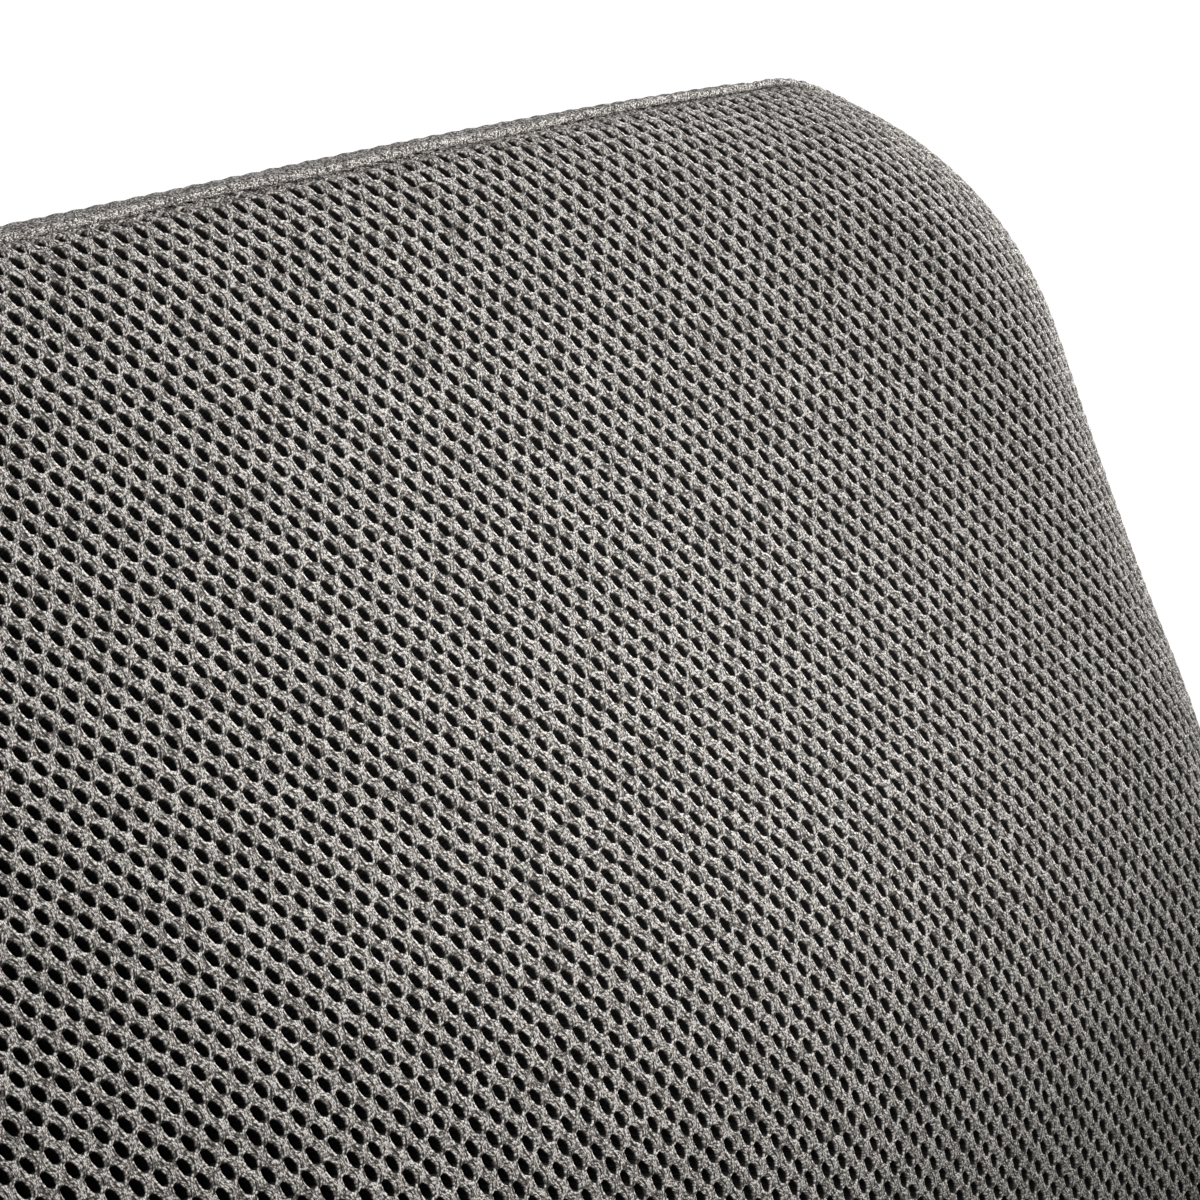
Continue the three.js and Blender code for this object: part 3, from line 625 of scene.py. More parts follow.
        # Depth into each hole, faded at the panel's edge, for the painted shade in the holes.
        set_attribute(mesh, "hole_shade", hole_shade * flat)
        # Painted highlight on the rim yarn and the knots, faded at the panel's edge.
        set_attribute(mesh, "thread", thread * flat)
        whole = welded(mesh, self.weld)
        bmesh.ops.dissolve_degenerate(whole, edges=whole.edges[:], dist=self.sliver)
        soften(whole)
        whole.to_mesh(mesh)
        whole.free()


# ---------------------------------------------------------------- shader nodes

class Tree:
    """Places and wires shader nodes in one node tree."""

    def __init__(self, tree: bpy.types.NodeTree) -> None:
        """Starts on a node tree."""
        self.tree = tree

    def add(self, kind: str, **settings: object) -> bpy.types.Node:
        """Adds a node and sets its properties."""
        node = self.tree.nodes.new(kind)
        for key, value in settings.items():
            setattr(node, key, value)
        return node

    def feed(self, socket: bpy.types.NodeSocket, value: object) -> None:
        """Wires a socket to another, or sets its value."""
        if isinstance(value, bpy.types.NodeSocket):
            self.tree.links.new(value, socket)
        else:
            socket.default_value = value

    def math(self, operation: str, *values: object, clamp: bool = False) -> bpy.types.NodeSocket:
        """A Math node's value."""
        node = self.add("ShaderNodeMath", operation=operation, use_clamp=clamp)
        for socket, value in zip(node.inputs, values):
            self.feed(socket, value)
        return node.outputs[0]

    def scaled(self, value: object, low: float, high: float, to_low: float,
               to_high: float) -> bpy.types.NodeSocket:
        """A value carried from one range to another, held inside it."""
        node = self.add("ShaderNodeMapRange", clamp=True)
        for socket, part in zip(node.inputs, (value, low, high, to_low, to_high)):
            self.feed(socket, part)
        return node.outputs[0]

    def join(self, x: object, y: object, z: object = 0.0) -> bpy.types.NodeSocket:
        """A vector of three numbers."""
        node = self.add("ShaderNodeCombineXYZ")
        for socket, value in zip(node.inputs, (x, y, z)):
            self.feed(socket, value)
        return node.outputs[0]

    def noise(self, place: bpy.types.NodeSocket, scale: float, detail: float = 2.0,
              rough: float = 0.5) -> bpy.types.NodeSocket:
        """Noise from 0 to 1."""
        node = self.add("ShaderNodeTexNoise")
        self.feed(node.inputs["Vector"], place)
        node.inputs["Scale"].default_value = scale
        node.inputs["Detail"].default_value = detail
        node.inputs["Roughness"].default_value = rough
        return node.outputs["Fac"]

    def blend(self, share: object, first: object, second: object) -> bpy.types.NodeSocket:
        """A colour between two."""
        node = self.add("ShaderNodeMix", data_type="RGBA")
        for socket, value in zip((node.inputs[0], node.inputs[6], node.inputs[7]), (share, first, second)):
            self.feed(socket, value)
        return node.outputs[2]

    def attribute(self, name: str) -> bpy.types.NodeSocket:
        """A vertex attribute's value."""
        return self.add("ShaderNodeAttribute", attribute_name=name).outputs["Fac"]


Colour = tuple[float, float, float, float]


def grey(level: float, warmth: float = 0.0) -> Colour:
    """A near-neutral colour, warmer above 0."""
    return (level * (1 + warmth), level, level * (1 - warmth), 1.0)


class Groups:
    """Shader node groups that several finishes share, each built once."""

    def __init__(self) -> None:
        """Starts with none built."""
        self._made: dict[str, bpy.types.NodeTree] = {}

    def _start(self, name: str, inputs: dict[str, float], outputs: list[str]) -> tuple[Tree, dict, dict]:
        """A new group's tree, with its input sockets and its output sockets by name."""
        tree = bpy.data.node_groups.new(name, "ShaderNodeTree")
        tree.interface.new_socket("Place", in_out="INPUT", socket_type="NodeSocketVector")
        for key, value in inputs.items():
            socket = tree.interface.new_socket(key, in_out="INPUT", socket_type="NodeSocketFloat")
            socket.default_value = value
        for key in outputs:
            tree.interface.new_socket(key, in_out="OUTPUT", socket_type="NodeSocketFloat")
        build = Tree(tree)
        given = build.add("NodeGroupInput").outputs
        wanted = build.add("NodeGroupOutput").inputs
        self._made[name] = tree
        return build, given, wanted

    def yarn(self) -> bpy.types.NodeTree:
        """Fine strands that run up the cloth and round its holes: their brightness, which is random melange
        tone with painted shade in the bead gaps and painted highlight on the bead crowns, and their height.
        """
        name = "knitted_yarn"
        if name in self._made:
            return self._made[name]
        build, given, wanted = self._start(
            name, {"Strands": 9.0, "Stretch": 10.0, "Flow": 0.13}, ["Bright", "Height", "Groove"])
        apart = build.add("ShaderNodeSeparateXYZ")
        build.feed(apart.inputs[0], given["Place"])
        u, v = apart.outputs[0], apart.outputs[1]
        swing = build.math("SINE", build.math("MULTIPLY", u, 2 * math.pi))
        beat = build.math("COSINE", build.math("MULTIPLY", v, 2 * math.pi))
        flow = build.math("MULTIPLY", build.math("MULTIPLY", swing, beat), given["Flow"])
        across = build.math("MULTIPLY", build.math("SUBTRACT", u, flow), given["Strands"])
        along = build.math("MULTIPLY", v, given["Stretch"])
        lines = build.join(across, along)
        cells = build.add("ShaderNodeTexVoronoi", voronoi_dimensions="2D", feature="F1")
        build.feed(cells.inputs["Vector"], lines)
        cells.inputs["Scale"].default_value = 1.0
        cells.inputs["Randomness"].default_value = 0.85
        shade = build.add("ShaderNodeSeparateColor")
        build.feed(shade.inputs[0], cells.outputs["Color"])
        fibres = build.join(build.math("MULTIPLY", across, 2.3), build.math("MULTIPLY", along, 1.1))
        fine = build.noise(fibres, 1.0, 3.0, 0.6)
        lump = build.scaled(cells.outputs["Distance"], 0.08, 0.66, 1.0, 0.0)
        speck = build.scaled(shade.outputs[0], 0.2, 0.8, 0.0, 1.0)
        mixed = build.math("ADD", build.math("MULTIPLY", speck, 0.6), build.math("MULTIPLY", fine, 0.4))
        # Random melange tone times each bead's lump: painted highlight at its crown and painted shade in the
        # gaps.
        bead_tone_and_shade = build.math("MULTIPLY", mixed, build.scaled(lump, 0.0, 0.7, 0.2, 1.15))
        column = build.math("COSINE", build.math("MULTIPLY", build.math("SUBTRACT", u, flow), 2 * math.pi))
        # Groove between the yarn columns: it dips the height, and MeshCloth darkens it as painted shade.
        groove = build.scaled(build.math("ABSOLUTE", column), 0.05, 0.42, 1.0, 0.0)
        build.feed(wanted["Bright"], bead_tone_and_shade)
        build.feed(wanted["Groove"], groove)
        proud = build.math("ADD", build.math("MULTIPLY", lump, 0.7), build.math("MULTIPLY", fine, 0.5))
        build.feed(wanted["Height"], build.math("SUBTRACT", proud, build.math("MULTIPLY", groove, 0.8)))
        return build.tree

    def woven(self) -> bpy.types.NodeTree:
        """Plain weave of fine ribs: its height, and the shade between its threads."""
        name = "woven_band"
        if name in self._made:
            return self._made[name]
        build, given, wanted = self._start(name, {"Warp": 1.0, "Weft": 1.0}, ["Height", "Shade"])
        apart = build.add("ShaderNodeSeparateXYZ")
        build.feed(apart.inputs[0], given["Place"])
        warp = build.math("MULTIPLY", apart.outputs[0], given["Warp"])
        weft = build.math("MULTIPLY", apart.outputs[1], given["Weft"])
        over = build.math("SINE", build.math("MULTIPLY", warp, math.pi))
        under = build.math("SINE", build.math("MULTIPLY", weft, math.pi))
        checker = build.math("MULTIPLY", over, under)
        rib = build.math("ABSOLUTE", over)
        thread = build.math("ABSOLUTE", under)
        height = build.math("ADD", build.math("MULTIPLY", build.math("MAXIMUM", rib, thread), 0.6),
                            build.math("MULTIPLY", checker, 0.4))
        fuzz = build.noise(build.join(warp, weft), 2.1, 3.0)
        build.feed(wanted["Height"], build.math("ADD", height, build.math("MULTIPLY", fuzz, 0.35)))
        build.feed(wanted["Shade"], build.scaled(build.math("ADD", checker, fuzz), -0.6, 1.5, 0.0, 1.0))
        return build.tree

    def grain(self) -> bpy.types.NodeTree:
        """Fine spark-eroded grain and the light rubs of handling."""
        name = "moulded_grain"
        if name in self._made:
            return self._made[name]
        build, given, wanted = self._start(name, {"Grain": 2600.0, "Rubs": 90.0}, ["Height", "Rub"])
        speck = build.add("ShaderNodeTexNoise")
        build.feed(speck.inputs["Vector"], given["Place"])
        build.feed(speck.inputs["Scale"], given["Grain"])
        patch = build.add("ShaderNodeTexNoise")
        build.feed(patch.inputs["Vector"], given["Place"])
        build.feed(patch.inputs["Scale"], given["Rubs"])
        patch.inputs["Detail"].default_value = 6.0
        build.feed(wanted["Height"], speck.outputs["Fac"])
        build.feed(wanted["Rub"], build.scaled(patch.outputs["Fac"], 0.42, 0.68, 0.0, 1.0))
        return build.tree


class Finish(ABC):
    """A finish: makes one material from shared groups and its own values."""

    name: str
    roughness: float = 0.8

    @abstractmethod
    def dress(self, build: Tree, shader: bpy.types.Node, groups: Groups) -> None:
        """Wires colour, roughness and bump into the shader."""

    def make(self, groups: Groups) -> bpy.types.Material:
        """Builds the material."""
        material = bpy.data.materials.new(self.name)
        material.use_nodes = True
        build = Tree(material.node_tree)
        shader = material.node_tree.nodes["Principled BSDF"]
        shader.inputs["Roughness"].default_value = self.roughness
        self.dress(build, shader, groups)
        material.diffuse_color = (0.3, 0.3, 0.3, 1.0)
        return material

    @staticmethod
    def bump(build: Tree, shader: bpy.types.Node, height: bpy.types.NodeSocket, distance: float,
             strength: float = 1.0) -> None:
        """Wires a height in metres into the shader's normal."""
        node = build.add("ShaderNodeBump")
        node.inputs["Strength"].default_value = strength
        node.inputs["Distance"].default_value = distance
        build.feed(node.inputs["Height"], height)
        build.feed(shader.inputs["Normal"], node.outputs[0])

    @staticmethod
    def placed(build: Tree, tree: bpy.types.NodeTree, place: bpy.types.NodeSocket,
               **values: float) -> bpy.types.Node:
        """A shared group with its own values."""
        node = build.add("ShaderNodeGroup", node_tree=tree)
        build.feed(node.inputs["Place"], place)
        for key, value in values.items():
            node.inputs[key].default_value = value
        return node


@dataclass(frozen=True)
class MeshCloth(Finish):
    """Melange spacer mesh: grey yarn in bead chains running in columns with a groove between them, and
    holes. The holes, the grooves and the bead gaps carry painted shade; the bead crowns, the yarn beside the
    holes and the raised knots carry painted highlight.
    """

    name: str
    # Yarn tones: the dark end is partly painted shade in the crevices, the light end partly painted
    # highlight on the bead crowns; between them the melange tone varies at random.
    dark: Colour = grey(0.050, 0.115)
    middle: Colour = grey(0.42, 0.085)
    light: Colour = grey(0.94, 0.055)
    # Near-black painted shade at the floor of each hole.
    hole: Colour = grey(0.006, 0.1)
    strands: float = 10.0
    stretch: float = 13.0
    flow: float = 0.13
    # Strength of the painted shade in the groove between yarn columns.
    groove: float = 0.32
    # Strength of the painted highlight on the rim yarn and the knots.
    highlight_gain: float = 0.10
    # Painted highlight that lightens all of the cloth: 0 on the panels, raised on the seam's fold.
    fold_highlight: float = 0.0
    # Where the painted shade begins down a hole, and how much further it goes before it reaches full
    # near-black.
    hole_shade_start: float = 0.05
    hole_shade_width: float = 0.22
    tones: Point = (0.12, 0.40, 0.76)
    bump_depth: float = 0.2 * MM
    roughness: float = 0.86

    def dress(self, build: Tree, shader: bpy.types.Node, groups: Groups) -> None:
        """Colours the yarn by its random melange tone, with painted shade in the bead gaps, in the grooves
        and down the holes, and painted highlight on the bead crowns, beside the holes, on the raised knots
        and on a seam's fold.
        """
        weave = build.add("ShaderNodeUVMap", uv_map="weave").outputs[0]
        yarn = self.placed(build, groups.yarn(), weave, Strands=self.strands, Stretch=self.stretch,
                           Flow=self.flow)
        # Painted highlight from the thread attribute.
        thread = build.math("MULTIPLY", build.attribute("thread"), self.highlight_gain)
        # Painted shade in the groove between the yarn columns.
        groove_shade = build.math("MULTIPLY", yarn.outputs["Groove"], self.groove)
        # Yarn tone, less the painted groove shade, plus the painted highlights.
        level = build.math("ADD", build.math("SUBTRACT", yarn.outputs["Bright"], groove_shade),
                           build.math("ADD", thread, self.fold_highlight))
        darkest, even, lightest = self.tones
        base = build.blend(build.scaled(level, darkest, even, 0.0, 1.0), self.dark, self.middle)
        lit = build.blend(build.scaled(level, even, lightest, 0.0, 1.0), base, self.light)
        # Painted shade: the colour goes to near-black down each hole.
        deep = self.hole_shade_start + self.hole_shade_width
        depth = build.scaled(build.attribute("hole_shade"), self.hole_shade_start, deep, 0.0, 1.0)
        build.feed(shader.inputs["Base Color"], build.blend(depth, lit, self.hole))
        shader.inputs["Sheen Weight"].default_value = 0.1
        shader.inputs["Sheen Roughness"].default_value = 0.5
        shader.inputs["Specular IOR Level"].default_value = 0.25
        self.bump(build, shader, yarn.outputs["Height"], self.bump_depth)


@dataclass(frozen=True)
class WovenBand(Finish):
    """Ribbed webbing, tape, elastic or satin."""

    name: str
    dark: Colour
    light: Colour
    warp: float = 0.95
    weft: float = 0.75
    depth: float = 0.3 * MM
    axes: tuple[int, int] = (2, 0)
    roughness: float = 0.72

    def dress(self, build: Tree, shader: bpy.types.Node, groups: Groups) -> None:
        """Weaves ribs over two of the object's axes."""
        place = build.add("ShaderNodeTexCoord").outputs["Object"]
        apart = build.add("ShaderNodeSeparateXYZ")
        build.feed(apart.inputs[0], place)
        flat = build.join(apart.outputs[self.axes[0]], apart.outputs[self.axes[1]])
        woven = self.placed(build, groups.woven(), flat, Warp=self.warp / MM, Weft=self.weft / MM)
        colour = build.blend(woven.outputs["Shade"], self.dark, self.light)
        cloud = build.scaled(build.noise(place, 60.0, 3.0), 0.3, 0.7, 0.0, 0.3)
        build.feed(shader.inputs["Base Color"], build.blend(cloud, colour, self.dark))
        shader.inputs["Sheen Weight"].default_value = 0.08
        shader.inputs["Specular IOR Level"].default_value = 0.25
        self.bump(build, shader, woven.outputs["Height"], self.depth)


@dataclass(frozen=True)
class Moulded(Finish):
    """Moulded plastic or plated metal with a fine grain and faint rubs."""

    name: str
    colour: Colour
    rubbed: Colour
    metallic: float = 0.0
    grain_depth: float = 0.02 * MM
    roughness: float = 0.42

    def dress(self, build: Tree, shader: bpy.types.Node, groups: Groups) -> None:
        """Adds the grain to the normal, and the rubs to the colour and roughness."""
        place = build.add("ShaderNodeTexCoord").outputs["Object"]
        grain = self.placed(build, groups.grain(), place)
        rub = grain.outputs["Rub"]
        build.feed(shader.inputs["Base Color"],
                   build.blend(build.math("MULTIPLY", rub, 0.5), self.colour, self.rubbed))
        build.feed(shader.inputs["Roughness"],
                   build.scaled(rub, 0.0, 1.0, self.roughness, self.roughness + 0.16))
        shader.inputs["Metallic"].default_value = self.metallic
        self.bump(build, shader, grain.outputs["Height"], self.grain_depth, 0.6)


@dataclass(frozen=True)
class OpenCell(Finish):
    """Open-cell foam."""

    name: str
    colour: Colour
    pore_shade: Colour
    roughness: float = 0.95

    def dress(self, build: Tree, shader: bpy.types.Node, groups: Groups) -> None:
        """Pits the foam with small pores, each darker towards its middle as painted shade."""
        place = build.add("ShaderNodeTexCoord").outputs["Object"]
        pores = build.add("ShaderNodeTexVoronoi")
        build.feed(pores.inputs["Vector"], place)
        pores.inputs["Scale"].default_value = 900.0
        # Painted shade: the colour darkens towards the middle of each of the pores.
        share = build.scaled(pores.outputs["Distance"], 0.1, 0.55, 1.0, 0.0)
        build.feed(shader.inputs["Base Color"], build.blend(share, self.colour, self.pore_shade))
        self.bump(build, shader, pores.outputs["Distance"], 0.25 * MM)


class Palette:
    """Every material of the cushion, by the record's slot."""

    def __init__(self) -> None:
        """Builds the finishes round one set of shared groups."""
        groups = Groups()
        web_dark, web_light = grey(0.006, 0.03), grey(0.05, 0.03)
        finishes = {
            "mesh_front": MeshCloth("spacer_mesh_front"),
            "mesh_side": MeshCloth("spacer_mesh_side"),
            "mesh_back": MeshCloth("spacer_mesh_back"),
            # The seam's fold gets a painted highlight, and a weaker painted shade in its grooves.
            "seam": MeshCloth("rolled_seam", groove=0.12, fold_highlight=0.06, flow=0.05),
            "webbing": WovenBand("black_webbing", web_dark, web_light),
            "elastic": WovenBand("black_elastic", grey(0.006), grey(0.04), warp=1.5, weft=0.55),
            "thread": WovenBand("sewing_thread", grey(0.05, 0.03), grey(0.24, 0.03), 6.0, 6.0, 0.05 * MM),
            "foam": OpenCell("memory_foam", grey(0.78, 0.06), grey(0.45, 0.1)),
            "liner": WovenBand("knitted_liner", grey(0.6, 0.02), grey(0.88, 0.02), 1.6, 1.6, 0.1 * MM),
            "zip_teeth": Moulded("nylon_teeth", grey(0.022), grey(0.06), roughness=0.38),
            "zip_metal": Moulded("dark_plated_zinc", grey(0.16, 0.02), grey(0.34, 0.02), metallic=0.9,
                                 grain_depth=0.008 * MM, roughness=0.32),
            "buckle": Moulded("black_acetal", grey(0.009), grey(0.03)),
            "label": WovenBand("satin_label", grey(0.62, 0.02), grey(0.86, 0.02), 7.0, 3.0, 0.03 * MM,
                               roughness=0.45),
        }
        self.materials = {slot: finish.make(groups) for slot, finish in finishes.items()}

    def __getitem__(self, slot: str) -> bpy.types.Material:
        """The material of a slot."""
        return self.materials[slot]


# ---------------------------------------------------------------- the cover

@dataclass
class Cover:
    """The zipped cover: front panel, gusset, two back panels and the seams between them."""

    form: CushionForm
    palette: Palette
    knit: Knit = Knit()
    fullness: float = 0.92
    grain_bias: float = math.radians(1.7)
    zip_line: float = 44 * MM
    zip_half: float = 131 * MM
    zip_edge: float = 12.6 * MM
    seam_half: tuple[float, float] = (0.58 * MM, 0.52 * MM)
    seam_proud: float = 0.1 * MM
    seam_under: float = -1.0 * MM
    seam_step: float = 0.5 * MM
    seam_sides: int = 10
    fold_swell: float = 0.16
    fold_twist: float = 0.6
    wrinkle_swell: float = 0.06
    wrinkle_waves: tuple[int, int, int] = (311, 47, 97)
    sway: float = 0.14 * MM
    sway_waves: tuple[int, int] = (29, 13)
    cloth_round: float = 1.1

    def build(self) -> None:
        """Builds every panel and seam."""
        form, reach = self.form, 30 * MM
        half_u = form.width / 2 + reach
        pitch, row = self.knit.pitch, self.knit.row
        round_pitch = form.outline_length / round(form.outline_length / pitch)
        self._panel(FrontSheet(form), (-half_u, -form.crest_height - reach), (half_u, form.crest_height),
                    "front_mesh", HoleDetail.FULL, pitch, "cover_front_panel", "mesh_front", self.grain_bias)
        middle = form.outline_length / 2
        self._panel(GussetSheet(form), (middle - 0.62, -2 * row), (middle + 0.62, 80 * MM),
                    "gusset_mesh", HoleDetail.PLAIN, round_pitch, "cover_gusset", "mesh_side")
        for above, word in ((True, "upper"), (False, "lower")):
            sheet = BackSheet(form, self.zip_line, above, self.zip_half, self.zip_edge)
            self._panel(sheet, (-half_u, 0), (half_u, form.height), f"back_mesh_{word}",
                        HoleDetail.PLAIN, pitch, f"cover_back_{word}", "mesh_back")
        self._seam("front_seam_roll", "front_seam", True)
        self._seam("back_seam_roll", "back_seam", False)

    def _panel(self, sheet: Sheet, low: tuple[float, float], high: tuple[float, float], name: str,
               detail: HoleDetail, pitch: float, node: str, slot: str, bias: float = 0.0) -> None:
        mesh = self.knit.weave(sheet, low, high, name, detail, pitch, bias)
        piece = finish_piece(mesh, name, self.palette[slot], "cushion", (node,))

    def _seam(self, name: str, node: str, front: bool) -> None:
        """Rolls the seam allowance along one seam.

        Args:
            name: the piece's name.
            node: the solid that it stands for.
            front: whether it is the front seam, not the back one.
        """
        form = self.form
        total = form.outline_length
        steps = round(total / self.seam_step)
        mesh = grid_mesh(name, steps, self.seam_sides)
        grid = mesh_points(mesh)
        along = (grid[:, 0] + 0.5) * total
        turn = (grid[:, 1] + 0.5) * 2 * math.pi
        x, z, out_x, out_z = form.outline_point(along)
        under = np.maximum(-out_z, 0)
        out = mix(self.seam_proud, self.seam_under, under)
        inward = form.front_seam_depth(x, z)
        if not front:
            out = out + form.back_roll * (math.sqrt(0.5) - 1)
            inward = np.full_like(x, -form.back_roll * (math.sqrt(0.5) - 1))
        ripple = 2 * math.pi * along / total
        folds = round(total / self.knit.pitch)
        swell = 1 + self.fold_swell * np.cos(folds * ripple + self.fold_twist * np.sin(turn))
        quick, slow, round_it = self.wrinkle_waves
        wrinkle = np.sin(quick * ripple + np.sin(slow * ripple)) * np.sin(turn + round_it * ripple)
        swell += self.wrinkle_swell * wrinkle
        long, longer = self.sway_waves
        out = out + self.sway * np.sin(long * ripple + np.sin(longer * ripple))
        out = out + self.seam_half[0] * swell * np.cos(turn)
        inward = inward + self.seam_half[1] * swell * np.sin(turn)
        set_points(mesh, form.place(x + out_x * out, inward, z + out_z * out))
        set_uv(mesh, "weave", along * folds / total, self.cloth_round * turn / (2 * math.pi))
        whole = welded(mesh)
        bmesh.ops.recalc_face_normals(whole, faces=whole.faces[:])
        soften(whole)
        finish_piece(whole, name, self.palette["seam"], "cushion", (node,))


# ---------------------------------------------------------------- trim, strap and core

@dataclass(frozen=True)
class Stitching:
    """A row of lock stitches."""

    length: float = 2.5 * MM
    gap: float = 0.9 * MM
    radius: float = 0.27 * MM

    def run(self, shape: bmesh.types.BMesh, start: Vector, end: Vector) -> None:
        """Sews from one point to another on a face that looks back."""
        along = end - start
        count = max(round(along.length / (self.length + self.gap)), 1)
        step = along / count
        turn = along.to_track_quat("X", "Z").to_matrix().to_4x4()
        grow = Matrix.Diagonal((self.length / 2 / self.radius, 1.0, 1.0, 1.0))
        for index in range(count):
            place = Matrix.Translation(start + step * (index + 0.5)) @ turn @ grow
            bmesh.ops.create_uvsphere(shape, u_segments=6, v_segments=4, radius=self.radius, matrix=place)

    def box_cross(self, shape: bmesh.types.BMesh, low: Vector, high: Vector) -> None:
        """Sews a box with a cross in it, over the rectangle between two corners."""
        corners = [Vector((low.x, low.y, low.z)), Vector((high.x, low.y, low.z)),
                   Vector((high.x, low.y, high.z)), Vector((low.x, low.y, high.z))]
        for start, end in zip(corners, corners[1:] + corners[:1]):
            self.run(shape, start, end)
        self.run(shape, corners[0], corners[2])
        self.run(shape, corners[1], corners[3])


@dataclass
class Zip:
    """The zip across the back panel: tapes, teeth, stops, slider and pull."""

    palette: Palette
    form: CushionForm
    tooth_pitch: float = 1.5 * MM
    tooth_width: float = 0.95 * MM
    core_share: float = 0.25
    stitching: Stitching = Stitching()
    stitch_inset: float = 3.0 * MM
    stitch_rise: float = 0.38 * MM
    tape_edge: float = 0.25 * MM
    metal_edge: float = 0.35 * MM
    slider_edge: float = 0.22 * MM
    tooth_edge: float = 0.3 * MM
    core_edge: float = 0.2 * MM
    pull_ribs: GripRibs = GripRibs(-2.4 * MM, 0.62, 5, -1.5 * MM, 0.7 * MM, 0.3 * MM, 0.1 * MM)

    def build(self) -> None:
        """Builds every part of the zip."""
        for word in ("upper", "lower"):
            tape = refined(f"zip_tape_{word}", self.tape_edge, 1)
            finish_piece(tape, f"zip_tape_{word}_cloth", self.palette["webbing"], "cushion",
                         (f"zip_tape_{word}",))
            self._teeth(word)
        for word in ("top", "bottom"):
            self._cast(refined(f"zip_{word}_stop", self.metal_edge), f"zip_{word}_stop", "metal", "cushion")
        self._cast(refined("zip_slider", self.slider_edge), "zip_slider", "cast", "slider")
        pull = refined("zip_pull", self.metal_edge)
        self.pull_ribs.add(pull, "zip_pull")
        self._cast(pull, "zip_pull", "cast", "pull")
        self._sew()

    def _cast(self, shape: bmesh.types.BMesh, node: str, ending: str, body: str) -> None:
        """Finishes one metal piece in place of its solid."""
        crisp(finish_piece(shape, f"{node}_{ending}", self.palette["zip_metal"], body, (node,)))

    def _teeth(self, word: str) -> None:
        """Sets the turns of one row of nylon coil along its tape."""
        low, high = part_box(f"zip_coil_{word}")
        size, middle = high - low, (low + high) / 2
        shape = bmesh.new()
        count = int(size.x / self.tooth_pitch)
        shift = 0.0 if word == "upper" else self.tooth_pitch / 2
        for index in range(count):
            x = low.x + shift / 2 + (index + 0.5) * (size.x - shift) / count
            rounded_block(shape, Vector((x, middle.y, middle.z)),
                          Vector((self.tooth_width, size.y, size.z)), self.tooth_edge)
        core = self.core_share
        rounded_block(shape, middle, Vector((size.x, size.y * core, size.z * core)), self.core_edge)
        crisp(finish_piece(shape, f"zip_teeth_{word}", self.palette["zip_teeth"], "cushion",
                           (f"zip_coil_{word}",)), BAND_EDGES)

    def _sew(self) -> None:
        """Topstitches the cover along both edges of the zip."""
        shape = bmesh.new()
        face = self.form.back_plane + self.stitch_rise
        for word, sign in (("upper", 1), ("lower", -1)):
            low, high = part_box(f"zip_tape_{word}")
            edge = high.z if sign > 0 else low.z
            z = edge + sign * self.stitch_inset
            self.stitching.run(shape, Vector((low.x, face, z)), Vector((high.x, face, z)))
        crisp(finish_piece(shape, "zip_topstitching", self.palette["thread"], "cushion"),
              THREAD_EDGES)


